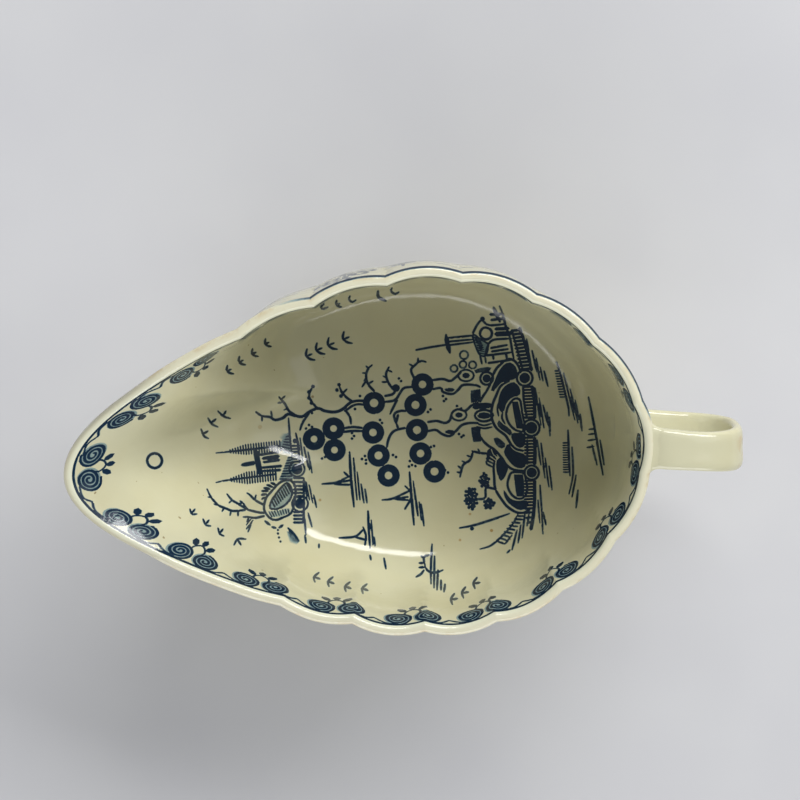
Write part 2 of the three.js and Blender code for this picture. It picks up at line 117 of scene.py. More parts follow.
@dataclass(frozen=True)
class BowlShape:
    """The bowl's surface, in millimetres, with the sizes of the CAD source.

    A turn is the angle round the bowl, from the spout tip past the +Y side. A climb runs up
    the wall, from 0 at the well in the floor to 1 at the rim.
    """

    length: float = 167.6
    middle_width: float = 101.9
    rim_height_middle: float = 59.5
    spout_rise: float = 12.5
    back_rise: float = 1.3
    wall: float = 3.2
    floor: float = 4.0
    well_length: float = 56.0
    well_width: float = 26.0
    well_offset: float = 12.0
    lip_turn: float = 1.8
    lip_height: float = 12.0
    belly: float = 0.3
    taper: float = 0.37
    fullness: float = 0.126
    pinch: float = 0.176
    spout_rise_power: float = 2.9
    back_rise_power: float = 4.0
    side_roundness: float = 5.6
    back_roundness: float = 3.0
    spout_roundness: float = 2.0
    spout_flare: float = 0.28
    spout_straightness: float = 0.3
    spout_blend: tuple[float, float] = (0.61, 0.88)
    back_blend_power: float = 3.0
    flare_power: float = 3.0
    left_lobes: int = 8
    right_lobes: int = 5
    right_pitch: float = 21.4
    plain_rim_left: float = 67.0
    plain_rim_right: float = 75.7
    lobe_depth: float = 1.8
    lobe_lift: float = 0.7
    lobe_inset: float = 0.5
    lobe_back_fade: float = 0.65
    lobe_fade_power: float = 3.0
    lobe_settling: tuple[float, float] = (-0.5, 0.3)
    lobe_fade_share: float = 0.6
    foot_height: float = 6.0
    skin: float = 0.18  # the smooth walls stay this far inside the CAD's flat facets
    shift: float = 0.0  # from the middle of the body to the frame's origin
    small_turn: float = 1e-4
    turns: np.ndarray = field(default_factory=lambda: np.linspace(0, FULL_TURN, TURN_COUNT))

    @property
    def floor_top(self) -> float:
        """Height of the well."""
        return self.foot_height + self.floor

    @property
    def lengths(self) -> np.ndarray:
        """Distance along the plan at each of the stored turns."""
        return lengths_along(self.plan(self.turns))

    def plan(self, turn: np.ndarray) -> np.ndarray:
        """The outline seen from above: an egg, narrow at the spout.

        Args:
            turn: angles round the bowl.

        Returns:
            Places across and along, from the middle of the outline.
        """
        c = np.cos(turn)
        swell = 1 - self.taper * c - self.fullness * c**2 + self.pinch * c**3
        return np.stack([-self.length / 2 * c, self.middle_width / 2 * swell * np.sin(turn)], -1)

    def out_of_plan(self, turn: np.ndarray) -> np.ndarray:
        """The way out, level and square to the plan."""
        step = self.plan(turn + self.small_turn) - self.plan(turn)
        return unit(np.stack([-step[..., 1], step[..., 0]], -1))

    def lobe(self, turn: np.ndarray) -> np.ndarray:
        """The scallop of the wall.

        Args:
            turn: angles round the bowl.

        Returns:
            For each, 0 on the plain outline and up to 1 at the middle of a lobe.
        """
        lengths = self.lengths
        distance = np.interp(np.mod(turn, FULL_TURN), self.turns, lengths)
        right_start = lengths[-1] - self.plain_rim_right - self.right_pitch * self.right_lobes
        left_pitch = (right_start - self.plain_rim_left) / self.left_lobes
        place = np.where(distance < right_start, (distance - self.plain_rim_left) / left_pitch,
                         self.left_lobes + (distance - right_start) / self.right_pitch)
        count = self.left_lobes + self.right_lobes
        settled = smoothstep(place, *self.lobe_settling)
        settled = settled * smoothstep(count - place, *self.lobe_settling)
        across = 2 * (place - np.floor(place)) - 1
        bulge = np.where((place > 0) & (place < count), 1 - across**2, 0)
        fade = 1 - self.lobe_back_fade * ((1 - np.cos(turn)) / 2) ** self.lobe_fade_power
        return (bulge - self.lobe_inset * settled) * fade

    def rim_height(self, turn: np.ndarray) -> np.ndarray:
        """Height of the rim's top above the table.

        Args:
            turn: angles round the bowl.

        Returns:
            A height for each.
        """
        spout = ((1 + np.cos(turn)) / 2) ** self.spout_rise_power
        back = ((1 - np.cos(turn)) / 2) ** self.back_rise_power
        return self.rim_height_middle + self.spout_rise * spout + self.back_rise * back

    def blends(self, turn: np.ndarray) -> tuple[np.ndarray, np.ndarray, np.ndarray]:
        """How the wall's shape is shared out.

        Args:
            turn: angles round the bowl.

        Returns:
            The spout's, the sides' and the back's share at each.
        """
        spout = smoothstep((1 + np.cos(turn)) / 2, *self.spout_blend)
        back = ((1 - np.cos(turn)) / 2) ** self.back_blend_power
        return spout, 1 - spout - back, back

    def roundness(self, turn: np.ndarray) -> np.ndarray:
        """How squarely the wall turns up from the floor."""
        spout, side, back = self.blends(turn)
        return self.spout_roundness * spout + self.side_roundness * side + self.back_roundness * back

    def inner(self, turn: np.ndarray, climb: np.ndarray) -> np.ndarray:
        """The inner face.

        Args:
            turn: angles round the bowl.
            climb: how far up the wall, from 0 to 1.

        Returns:
            A point for each pair.
        """
        turn, climb = np.broadcast_arrays(np.asarray(turn, float), np.asarray(climb, float))
        spout, side, _ = self.blends(turn)
        flare = self.spout_flare * spout
        straightness = self.spout_straightness * spout
        power = 2 / self.roundness(turn)
        sine = np.sin(climb * math.pi / 2)
        cosine = np.maximum(0, np.cos(climb * math.pi / 2))
        outward = (1 - flare) * sine**power + flare * (1 - cosine) ** self.flare_power
        upward = (1 - straightness) * (1 - cosine**power) + straightness * sine**2
        wall_height = self.rim_height(turn) - self.wall / 2 - self.floor_top
        lip = np.maximum(0, 1 - wall_height * (1 - upward) / self.lip_height) ** 2
        swell = np.sin(math.pi * upward) ** 2
        depth = smoothstep(climb, self.lobe_fade_share, 1) * self.lobe(turn)
        out = self.out_of_plan(turn)
        well = np.stack([self.well_offset - self.well_length / 2 * np.cos(turn),
                         self.well_width / 2 * np.sin(turn)], -1)
        rim = self.plan(turn) - out * (self.wall + self.lip_turn)
        moved = lip * self.lip_turn + swell * self.belly * side + depth * self.lobe_depth
        level = well + (rim - well) * outward[..., None] + out * moved[..., None]
        height = self.floor_top + wall_height * upward + depth * self.lobe_lift
        return np.stack([level[..., 0] + self.shift, level[..., 1], height], -1)


@dataclass(frozen=True)
class FlatLayout:
    """The bowl's wall laid flat round its well, as the drawing paper of its faces.

    The wall is spread over a ring round the well's oval, so that equal steps on the paper are
    nearly equal steps on the clay. Along it, a share runs from 0 at the well to 1 at the rim.
    """

    shape: BowlShape
    reach: float = 70.0

    @property
    def centre(self) -> np.ndarray:
        """The well's middle on the paper."""
        return np.array([self.shape.well_offset, 0.0])

    def half_axes(self, spread: float) -> np.ndarray:
        """Half the length and half the width of the oval that stands this far off the well."""
        return np.array([self.shape.well_length, self.shape.well_width]) / 2 + spread

    def climb(self, turn: np.ndarray, share: np.ndarray) -> np.ndarray:
        """The climb at a share of the way from the well to the rim."""
        power = self.shape.roundness(turn) / 2
        return share**power / (share**power + (1 - share) ** power)

    def paper(self, turn: np.ndarray, share: np.ndarray | float) -> np.ndarray:
        """The place on the paper for a turn and a share of the way up.

        Args:
            turn: angles round the bowl.
            share: how far from the well to the rim.

        Returns:
            A place for each pair.
        """
        spread = self.reach * np.asarray(share)
        x = self.shape.well_offset - (self.shape.well_length / 2 + spread) * np.cos(turn)
        return np.stack([x, (self.shape.well_width / 2 + spread) * np.sin(turn)], -1)

    def ring(self, count: int, share: float) -> np.ndarray:
        """Places all round the paper at one share."""
        return self.paper(round_angles(count), np.full(count, share))

    def unpaper(self, paper: np.ndarray) -> tuple[np.ndarray, np.ndarray]:
        """The turn and the share of places on the paper.

        Args:
            paper: the places.

        Returns:
            A turn and a share for each, with share 0 inside the well.
        """
        x, y = np.moveaxis(paper - self.centre, -1, 0)
        long, short = self.half_axes(0)
        low, high = np.zeros_like(x), np.full_like(x, self.reach * 1.3)
        for _ in range(HALVINGS):
            middle = (low + high) / 2
            outside = (x / (long + middle)) ** 2 + (y / (short + middle)) ** 2 > 1
            low, high = np.where(outside, middle, low), np.where(outside, high, middle)
        spread = (low + high) / 2
        return np.arctan2(y / (short + spread), -x / (long + spread)), spread / self.reach


class Side(Enum):
    """A face of the bowl, with the way its normals point."""

    INSIDE = -1
    OUTSIDE = 1


@dataclass(frozen=True)
class BowlFace:
    """One painted face of the bowl: paper places in, points of the clay out."""

    layout: FlatLayout
    side: Side
    small_step: float = 0.05

    def inner_points(self, paper: np.ndarray) -> np.ndarray:
        """Points of the inner face.

        Args:
            paper: places on the paper.

        Returns:
            A point for each, flat within the well.
        """
        shape = self.layout.shape
        turn, share = self.layout.unpaper(paper)
        points = shape.inner(turn, self.layout.climb(turn, np.minimum(share, 1)))
        within = (((paper - self.layout.centre) / self.layout.half_axes(0)) ** 2).sum(-1) <= 1
        flat = np.stack([paper[..., 0] + shape.shift, paper[..., 1],
                         np.full_like(share, shape.floor_top)], -1)
        return np.where(within[..., None], flat, points)

    def inner_normals(self, paper: np.ndarray) -> np.ndarray:
        """The way out of the clay on the inner face, towards the sauce.

        Args:
            paper: places on the paper.

        Returns:
            A unit vector for each.
        """
        step = self.small_step
        inside = paper - unit(paper - self.layout.centre + 1e-9) * 2 * step
        right = self.inner_points(inside + [step, 0]) - self.inner_points(inside - [step, 0])
        ahead = self.inner_points(inside + [0, step]) - self.inner_points(inside - [0, step])
        return unit(np.cross(right, ahead))

    def points(self, paper: np.ndarray) -> np.ndarray:
        """Points of this face.

        Args:
            paper: places on the paper.

        Returns:
            A point for each.
        """
        inner = self.inner_points(paper)
        if self.side is Side.INSIDE:
            return inner
        shape = self.layout.shape
        turn, share = self.layout.unpaper(paper)
        climb = self.layout.climb(turn, np.clip(share, 0, 1))
        thickness = shape.wall + (shape.floor - shape.wall) * (1 - climb) - shape.skin
        return inner - self.inner_normals(paper) * thickness[..., None]

    def normals(self, paper: np.ndarray) -> np.ndarray:
        """The way out of the clay on this face."""
        return -self.side.value * self.inner_normals(paper)


@dataclass
class WallSheet:
    """Drawing along the rim: across is millimetres from the spout tip, towards the +Y side,
    and the other number is millimetres down the wall from the rim's edge."""

    face: BowlFace
    rows: int = 160
    columns: int = 720
    least_depth: float = 0.02

    def __post_init__(self) -> None:
        """Measure the wall's depth at every column."""
        turn = np.linspace(0, FULL_TURN, self.columns + 1)
        self.shares = np.linspace(1, 0, self.rows)
        points = self.face.points(self.face.layout.paper(turn[:, None], self.shares[None, :]))
        steps = np.linalg.norm(np.diff(points, axis=1), axis=2)
        self.depths = np.concatenate([np.zeros((len(turn), 1)), np.cumsum(steps, axis=1)], 1)

    def column(self, turn: np.ndarray) -> tuple[np.ndarray, np.ndarray]:
        """The measured column before each turn, and how far the turn lies towards the next one.

        Args:
            turn: angles round the bowl.

        Returns:
            Column indices, and a share for each.
        """
        column = np.mod(turn, FULL_TURN) / FULL_TURN * self.columns
        left = np.minimum(column.astype(int), self.columns - 1)
        return left, column - left

    def place(self, drawn: np.ndarray) -> np.ndarray:
        """Lay drawn points on the paper.

        Args:
            drawn: points as distance along the rim and depth below it.

        Returns:
            Their places on the paper.
        """
        shape = self.face.layout.shape
        lengths = shape.lengths
        turn = np.interp(np.mod(drawn[:, 0], lengths[-1]), lengths, shape.turns)
        left, mix = self.column(turn)
        depths = self.depths[left] * (1 - mix[:, None]) + self.depths[left + 1] * mix[:, None]
        wanted = np.maximum(drawn[:, 1], self.least_depth)
        row = np.clip((depths < wanted[:, None]).sum(1) - 1, 0, self.rows - 2)
        pick = np.arange(len(drawn))
        near, far = depths[pick, row], depths[pick, row + 1]
        share = (wanted - near) / (far - near)
        return self.face.layout.paper(
            turn, self.shares[row] + (self.shares[row + 1] - self.shares[row]) * share)

    def depth(self, paper: np.ndarray) -> np.ndarray:
        """How far down the wall places lie.

        Args:
            paper: places on the paper.

        Returns:
            Millimetres from the rim's edge.
        """
        turn, share = self.face.layout.unpaper(paper)
        left, _ = self.column(turn)
        row = np.clip((1 - share) * (self.rows - 1), 0, self.rows - 1)
        upper = np.minimum(row.astype(int), self.rows - 2)
        mix = row - upper
        return self.depths[left, upper] * (1 - mix) + self.depths[left, upper + 1] * mix


@dataclass(frozen=True)
class Eye:
    """The camera's place and how it holds the picture, in millimetres."""

    target: tuple[float, float, float] = (-2.44, 16.584, 62.0)
    tilt: float = math.radians(10.78)
    roll: float = math.radians(2.416)
    distance: float = 650.0
    unit_size: float = 0.2815  # one unit of the drawing sheet, at the target
    sheet_middle: float = 400.0

    @property
    def axes(self) -> np.ndarray:
        """The picture's right, its up and the way back to the eye, as rows.

        Returns:
            Three unit vectors.
        """
        back = np.array([0, math.sin(self.tilt), math.cos(self.tilt)])
        up = unit(np.array([0, 1, 0]) - back * back[1])
        right = np.cross(up, back)
        c, s = math.cos(self.roll), math.sin(self.roll)
        return np.array([c * right - s * up, s * right + c * up, back])

    @property
    def place(self) -> np.ndarray:
        """Where the eye is."""
        return np.array(self.target) + self.axes[2] * self.distance

    def rays(self, drawn: np.ndarray) -> np.ndarray:
        """Directions through the sheet.

        Args:
            drawn: points of the sheet, which counts down from its top left.

        Returns:
            A unit vector for each.
        """
        across = (drawn[:, 0] - self.sheet_middle) * self.unit_size
        up = (self.sheet_middle - drawn[:, 1]) * self.unit_size
        right_axis, up_axis, back = self.axes
        return unit(across[:, None] * right_axis + up[:, None] * up_axis - self.distance * back)


@dataclass
class SeenSheet:
    """Drawing as the eye sees it: a painter's landscape is composed for one viewpoint.

    Attributes:
        face: the face that is drawn on.
        eye: where it is seen from.
        rows: rings of the coarse copy.
        columns: its points round each ring.
        furthest_step: a longer step on the paper, in millimetres, has gone out of sight.
    """

    face: BowlFace
    eye: Eye
    rows: int = 70
    columns: int = 360
    furthest_step: float = 8.0

    def __post_init__(self) -> None:
        """Make a coarse copy of the face to look for points on."""
        shares = np.linspace(1, 0, self.rows)
        rings = [self.face.layout.ring(self.columns, share) for share in shares]
        self.paper = np.concatenate([*rings, self.face.layout.centre[None]])
        self.faces: list[tuple[int, int, int]] = []
        for start in range(0, (self.rows - 1) * self.columns, self.columns):
            for column in range(self.columns):
                a, b = start + column, start + (column + 1) % self.columns
                self.faces += [(a, b, b + self.columns), (a, b + self.columns, a + self.columns)]
        last, middle = (self.rows - 1) * self.columns, self.rows * self.columns
        self.faces += [(last + column, last + (column + 1) % self.columns, middle)
                       for column in range(self.columns)]
        self.points = [Vector(point) for point in self.face.points(self.paper)]
        self.tree = BVHTree.FromPolygons(self.points, self.faces)

    def place(self, drawn: np.ndarray) -> np.ndarray:
        """Lay drawn points on the paper. One that is out of sight keeps its neighbour's place.

        Args:
            drawn: points of the sheet.

        Returns:
            Their places on the paper.
        """
        start = Vector(self.eye.place)
        found: list[Vector] = []
        for ray in self.eye.rays(drawn):
            point, _, index, _ = self.tree.ray_cast(start, Vector(ray))
            if index is None:
                found.append(found[-1] if found else Vector(self.face.layout.centre))
                continue
            flat = [Vector((*self.paper[corner], 0)) for corner in self.faces[index]]
            solid = [self.points[corner] for corner in self.faces[index]]
            here = barycentric_transform(point, *solid, *flat).to_2d()
            hidden = found and (here - found[-1]).length > self.furthest_step
            found.append(found[-1] if hidden else here)
        return np.array([tuple(place) for place in found]).reshape(-1, 2)


class Pigment(Enum):
    """What a mark is made of, with the name of its attribute on the mesh."""

    COBALT = "ink"
    STAIN = "stain"


@dataclass(frozen=True)
class Mark:
    """A painted mark on its sheet: an outline, with a softer rail round it."""

    outline: np.ndarray
    halo: np.ndarray
    strength: float = 1.0
    pigment: Pigment = Pigment.COBALT


def bend(points: Points, step: float) -> np.ndarray:
    """A smooth path through points.

    Args:
        points: places on a sheet. Where the last is the first, the path closes smoothly.
        step: spacing of the path's own points.

    Returns:
        Evenly spaced points.
    """
    knots = np.array(points, float).reshape(-1, 2)
    if len(knots) > 2:
        ends = [2 * knots[0] - knots[1], *knots, 2 * knots[-1] - knots[-2]]
        if np.allclose(knots[0], knots[-1]):
            ends = [knots[-2], *knots, knots[1]]
        t = np.linspace(0, 1, 9)[:-1, None]
        pieces = [0.5 * (2 * p1 + (p2 - p0) * t + (2 * p0 - 5 * p1 + 4 * p2 - p3) * t**2
                         + (3 * p1 - p0 - 3 * p2 + p3) * t**3)
                  for p0, p1, p2, p3 in zip(ends, ends[1:], ends[2:], ends[3:])]
        knots = np.concatenate([*pieces, knots[-1:]])
    return respaced(knots, max(2, math.ceil(lengths_along(knots)[-1] / step) + 1))


def rails(path: np.ndarray, half: np.ndarray) -> np.ndarray:
    """The closed outline of a stroke, with rounded ends.

    Args:
        path: the middle of the stroke.
        half: half its width at each point.

    Returns:
        The outline's points, once round.
    """
    ahead = unit(np.gradient(path, axis=0) + 1e-12)
    side = np.stack([-ahead[:, 1], ahead[:, 0]], -1)
    if np.allclose(path[0], path[-1]):
        side[0] = side[-1] = unit(side[0] + side[-1])
        return np.concatenate([path + side * half[:, None], (path - side * half[:, None])[::-1]])
    tips = [path[index] + ahead[index] * end * half[index] for end, index in ((-1, 0), (1, -1))]
    left, right = path + side * half[:, None], path - side * half[:, None]
    return np.concatenate([tips[:1], left, tips[1:], right[::-1]])


def cut_up(loop: np.ndarray, longest: float = 2.4) -> np.ndarray:
    """A loop with its long sides cut up, so that it follows the clay between its corners.

    Args:
        loop: its corners on the paper.
        longest: the longest side that is left whole, in millimetres.

    Returns:
        The loop with the new corners.
    """
    if not len(loop):
        return loop
    sides = np.roll(loop, -1, axis=0) - loop
    counts = np.maximum(1, np.ceil(np.linalg.norm(sides, axis=1) / longest).astype(int))
    return np.concatenate([start + side * np.linspace(0, 1, count, endpoint=False)[:, None]
                           for start, side, count in zip(loop, sides, counts)])


@dataclass
class Brush:
    """A loaded brush on a sheet: it gathers marks and says how they lie on the paper.

    Attributes:
        sheet: where the strokes are drawn.
        unit_size: millimetres in one unit of the sheet.
        weight: how much wider than asked every line comes out.
        bleed: how far the cobalt has run into the glaze, in millimetres.
        step: spacing of the points along a stroke, in millimetres.
    """

    sheet: WallSheet | SeenSheet
    unit_size: float = 1.0
    weight: float = 1.0
    bleed: float = 0.3
    step: float = 0.6
    marks: list[Mark] = field(default_factory=list)

    @property
    def run(self) -> float:
        """How far the cobalt has run, in the sheet's units."""
        return self.bleed / self.unit_size

    def lay(self, outline: np.ndarray, halo: np.ndarray, strength: float,
            pigment: Pigment = Pigment.COBALT) -> None:
        """Put a mark's outline and its halo on the paper."""
        places = [cut_up(self.sheet.place(loop)) for loop in (outline, halo)]
        self.marks.append(Mark(*places, strength, pigment))

    def stroke(self, points: Points, width: float, strength: float = 0.95,
               pointed: tuple[float, float] = (1, 1)) -> None:
        """Draw a line through points.

        Args:
            points: places on the sheet.
            width: its width at the middle, in the sheet's units.
            strength: how much cobalt it carries.
            pointed: what is left of the width at its two ends.
        """
        path = bend(points, self.step / self.unit_size)
        share = np.linspace(0, 1, len(path))
        body = np.minimum(1, np.minimum(pointed[0] + (1 - pointed[0]) * share * 4,
                                        pointed[1] + (1 - pointed[1]) * (1 - share) * 4))
        half = width * self.weight / 2 * body
        self.lay(rails(path, half), rails(path, half + self.run), strength)

    def ring(self, middle: Point, radius: float, width: float, strength: float = 0.95,
             squash: float = 1.0) -> None:
        """Draw a circle or an oval.

        Args:
            middle: its middle.
            radius: half its height.
            width: the line's width.
            strength: how much cobalt it carries.
            squash: how much wider than high it is.
        """
        points = [(middle[0] + radius * squash * math.cos(t), middle[1] + radius * math.sin(t))
                  for t in np.linspace(0, FULL_TURN, 9)]
        self.stroke(points, width, strength)

    def blob(self, middle: Point, radius: float, strength: float = 1.0, squash: float = 1.0,
             pigment: Pigment = Pigment.COBALT) -> None:
        """Set down a filled dot.

        Args:
            middle: its middle.
            radius: half its height.
            strength: how much pigment it carries.
            squash: how much wider than high it is.
            pigment: what it is made of.
        """
        turn = round_angles(max(7, math.ceil(FULL_TURN * radius * self.unit_size / self.step)))
        circle = np.stack([np.cos(turn) * squash, np.sin(turn)], -1)
        self.lay(middle + circle * radius, middle + circle * (radius + self.run), strength, pigment)

    def wash(self, points: Points, strength: float) -> None:
        """Fill an outline with thin colour."""
        path = self.outline(points, 2)
        self.lay(path, path[:0], strength)

    def patch(self, points: Points, strength: float = 1.0) -> None:
        """Fill an outline with dense colour that ends at its edge.

        Args:
            points: the outline's corners.
            strength: how much cobalt it carries.
        """
        path = self.outline(points, 1.5)
        following = np.roll(path, -1, axis=0)
        ahead = unit(following - np.roll(path, 1, axis=0))
        away = np.stack([ahead[:, 1], -ahead[:, 0]], -1)
        turning = np.sum(path[:, 0] * following[:, 1] - following[:, 0] * path[:, 1])
        self.lay(path, path + away * np.sign(turning) * self.run, strength)

    def outline(self, points: Points, coarseness: float) -> np.ndarray:
        """A smooth closed outline through corners, without its last point."""
        corners = np.array(points, float).reshape(-1, 2)
        return bend([*corners, corners[0]], coarseness * self.step / self.unit_size)[:-1]


def inside(points: np.ndarray, outline: np.ndarray) -> np.ndarray:
    """Which points an outline winds round.

    Args:
        points: the points to test.
        outline: the outline's corners.

    Returns:
        True or false for each point.
    """
    found = np.zeros(len(points), bool)
    low, high = outline.min(0), outline.max(0)
    near = np.nonzero(((points >= low) & (points <= high)).all(1))[0]
    start = outline[None] - points[near][:, None]
    end = np.roll(start, -1, axis=1)
    cross = start[..., 0] * end[..., 1] - start[..., 1] * end[..., 0]
    rising = (start[..., 1] <= 0) & (end[..., 1] > 0) & (cross > 0)
    falling = (start[..., 1] > 0) & (end[..., 1] <= 0) & (cross < 0)
    found[near] = rising.sum(1) != falling.sum(1)
    return found


@dataclass
class PaintedFace:
    """A face of the bowl with its marks inlaid in the mesh.

    Attributes:
        face: the face.
        marks: what is painted on it.
        boundary: points along its edge.
        grid: spacing of the points between the marks, in millimetres.
        rim_gap: how far from the edge these stay.
        edge_rows: how far from the edge two more rows lie, the second with half the points.
        inset: how far marks that reach the edge are pulled in.
    """

    face: BowlFace
    marks: list[Mark]
    boundary: int = 720
    grid: float = 2.0
    rim_gap: float = 2.6
    edge_rows: tuple[float, float] = (0.7, 1.7)
    inset: float = 0.08

    def base_points(self) -> np.ndarray:
        """An even scatter of points over the paper, without its edge.

        Returns:
            A triangular lattice and two rows along the rim.
        """
        layout = self.face.layout
        wide, high = layout.half_axes(layout.reach - self.rim_gap)
        rows = np.arange(-high, high, self.grid * 0.866)
        columns = np.arange(-wide, wide, self.grid)
        lattice = np.array([(x + (index % 2) * self.grid / 2, y)
                            for index, y in enumerate(rows) for x in columns])
        lattice = lattice[((lattice / [wide, high]) ** 2).sum(1) < 1] + layout.centre
        first, second = (1 - gap / layout.reach for gap in self.edge_rows)
        between = layout.paper(round_angles(self.boundary) + math.pi / self.boundary, first)
        return np.concatenate([lattice, between, layout.ring(self.boundary // 2, second)])

    def triangulate(self) -> tuple[np.ndarray, np.ndarray, dict[Pigment, np.ndarray]]:
        """Join the edge, the marks and the base points into triangles.

        Returns:
            Places on the paper with the edge first, triangles, and a level for each pigment.
        """
        edge = self.face.layout.ring(self.boundary, 1.0)
        edges = [(index, (index + 1) % self.boundary) for index in range(self.boundary)]
        owners: list[Mark | None] = [None] * len(edges)
        parts = [edge]
        count = len(edge)
        for mark in self.marks:
            for loop, owner in ((mark.outline, mark), (mark.halo, None)):
                size = len(loop)
                edges += [(count + index, count + (index + 1) % size) for index in range(size)]
                owners += [owner] * size
                parts.append(loop)
                count += size
        given = self.within_rim(np.concatenate([*parts, self.base_points()]))
        given[:len(edge)] = edge
        verts, joined, faces, _, sources, _ = delaunay_2d_cdt(
            [Vector(point) for point in given], edges, [], 0, 1e-4, True)
        paper = np.array([tuple(vert) for vert in verts])
        drawn = [(edge, owners[source]) for edge, found in zip(joined, sources) for source in found]
        return paper, np.array(faces), self.levels(paper, drawn)

    def within_rim(self, paper: np.ndarray) -> np.ndarray:
        """Pull places that lie past the rim back inside it.

        Args:
            paper: places on the paper.

        Returns:
            The places, none of them past the edge.
        """
        layout = self.face.layout
        half = layout.half_axes(layout.reach - self.inset)
        away = (paper - layout.centre) / half
        far = np.maximum(np.linalg.norm(away, axis=1), 1e-9)
        return layout.centre + away * np.minimum(1, 1 / far)[:, None] * half

    def levels(self, paper: np.ndarray,
               drawn: list[tuple[tuple[int, int], Mark | None]]) -> dict[Pigment, np.ndarray]:
        """How much of each pigment lies at every vertex.

        Args:
            paper: the vertices.
            drawn: edges that lie on a mark's outline, with the mark, or on something else.

        Returns:
            A level from 0 to 1 for each vertex, by pigment.
        """
        found = {pigment: np.zeros(len(paper)) for pigment in Pigment}
        for edge, mark in drawn:
            for vertex in edge if mark else ():
                found[mark.pigment][vertex] = max(found[mark.pigment][vertex], mark.strength)
        for mark in self.marks:
            level = found[mark.pigment]
            covered = inside(paper, mark.outline)
            level[covered] = np.maximum(level[covered], mark.strength)
        return found


@dataclass(frozen=True)
class SpiralPair:
    """One motif of the border: its middle along the rim, how far down it lies and its scale."""

    along: float
    down: float = 4.1
    size: float = 1.0


@dataclass
class BorderPainter:
    """The band of spirals and florets below the rim, as a pattern repeated round the bowl.

    Sizes are in millimetres. Motifs on the -Y side lie below zero along the rim.
    """

    brush: Brush
    spacing: float = 8.9  # between the middles of a pair's two spirals
    width: float = 8.5
    height: float = 6.9
    turns: float = 2.8
    turn_points: int = 14
    winding_in: float = 0.86  # the share of its size that a spiral loses on the way in
    line: float = 0.7
    thin_line: float = 0.46
    fill: float = 0.4
    bud: float = 2.1  # half the width of the blank bud between two spirals
    bud_height: float = 3.5
    drop_width: float = 1.9
    edge_strokes: int = 60
    pairs: tuple[SpiralPair, ...] = (
        SpiralPair(3.0, 5.4, 1.12), SpiralPair(27.5, 4.6), SpiralPair(50.1, 4.8), SpiralPair(73.5, 4.6),
        SpiralPair(97.0), SpiralPair(121.5), SpiralPair(145.9), SpiralPair(170.4), SpiralPair(194.8),
        SpiralPair(-207.8), SpiralPair(-184.6), SpiralPair(-161.1), SpiralPair(-136.9), SpiralPair(-114.8),
        SpiralPair(-91.5), SpiralPair(-68.0), SpiralPair(-45.7), SpiralPair(-23.6, 4.5))

    def paint(self, rim_length: float) -> None:
        """Draw every pair and what links them.

        Args:
            rim_length: millimetres once round the rim.
        """
        ordered = sorted(self.pairs, key=lambda pair: pair.along % rim_length)
        for pair in ordered:
            self.spiral(pair, -1)
            self.spiral(pair, 1)
            self.floret(pair)
        for pair, following in zip(ordered, [*ordered[1:], ordered[0]]):
            self.link(pair, following, (following.along - pair.along) % rim_length)
        self.edge_line(rim_length)

    def spiral(self, pair: SpiralPair, side: int) -> None:
        """Draw one spiral from its outer end inwards, over a thin wash.

        Args:
            pair: the motif that it belongs to.
            side: -1 for the spiral before the motif's middle, 1 for the one after it.
        """
        x = pair.along + side * self.spacing * pair.size / 2
        wide, high = self.width * pair.size / 2, self.height * pair.size / 2
        start = math.pi if side < 0 else 0
        points = []
        for share in np.linspace(0, 1, int(self.turns * self.turn_points) + 1):
            angle = start + math.pi / 2 + side * share * self.turns * FULL_TURN
            size = 1 - self.winding_in * share
            points.append((x + wide * size * math.cos(angle), pair.down - high * size * math.sin(angle)))
        around = [(x + wide * math.cos(t), pair.down - high * math.sin(t)) for t in round_angles(12)]
        self.brush.patch(around, self.fill)
        self.brush.stroke(points, self.line, 1.0, (1, 0.7))

    def floret(self, pair: SpiralPair) -> None:
        """Draw the blank bud between two spirals, with three teardrops outside it.

        Args:
            pair: the motif that it belongs to.
        """
        x, base, half = pair.along, pair.down + self.height * 0.3, self.bud
        top = base + self.bud_height
        self.brush.stroke([(x - half, base), (x - half * 1.15, base + 1.5), (x - half * 0.6, top - 0.4),
                           (x, top), (x + half * 0.6, top - 0.4), (x + half * 1.15, base + 1.5),
                           (x + half, base)], self.thin_line)
        for side in (-1, 0, 1):
            near = (x + side * (half + 0.3), top + 0.6 - abs(side) * 1.2)
            far = (x + side * (half + 1.7), top + 2.4 - abs(side) * 1.3)
            self.brush.stroke([near, far], self.drop_width, 1.0, (0.6, 1))

    def link(self, pair: SpiralPair, following: SpiralPair, gap: float) -> None:
        """Draw the thin line that leaves the rim between two pairs and makes a pointed loop.

        Args:
            pair: the motif before it.
            following: the motif after it.
            gap: millimetres along the rim between their middles.
        """
        start = pair.along + self.spacing * pair.size / 2
        end = pair.along + gap - self.spacing * following.size / 2
        middle = (start + end) / 2
        reach = min(3.4, (end - start) / 3.5)
        self.brush.stroke([(start, pair.down - self.height / 2 + 0.4), (middle - reach, 1.3),
                           (middle - 0.4, 2.6), (middle + 0.3, 2.6), (middle + reach * 0.8, 1.2),
                           (end, following.down - self.height / 2 + 0.4)], self.thin_line, 0.9)

    def edge_line(self, rim_length: float) -> None:
        """Draw the dark line at the rim's inner edge.

        Args:
            rim_length: millimetres once round the rim.
        """
        for index in range(self.edge_strokes):
            start, end = (rim_length * place / self.edge_strokes for place in (index, index + 1.02))
            self.brush.stroke([(start, 0.55), ((start + end) / 2, 0.6), (end, 0.55)], self.line)


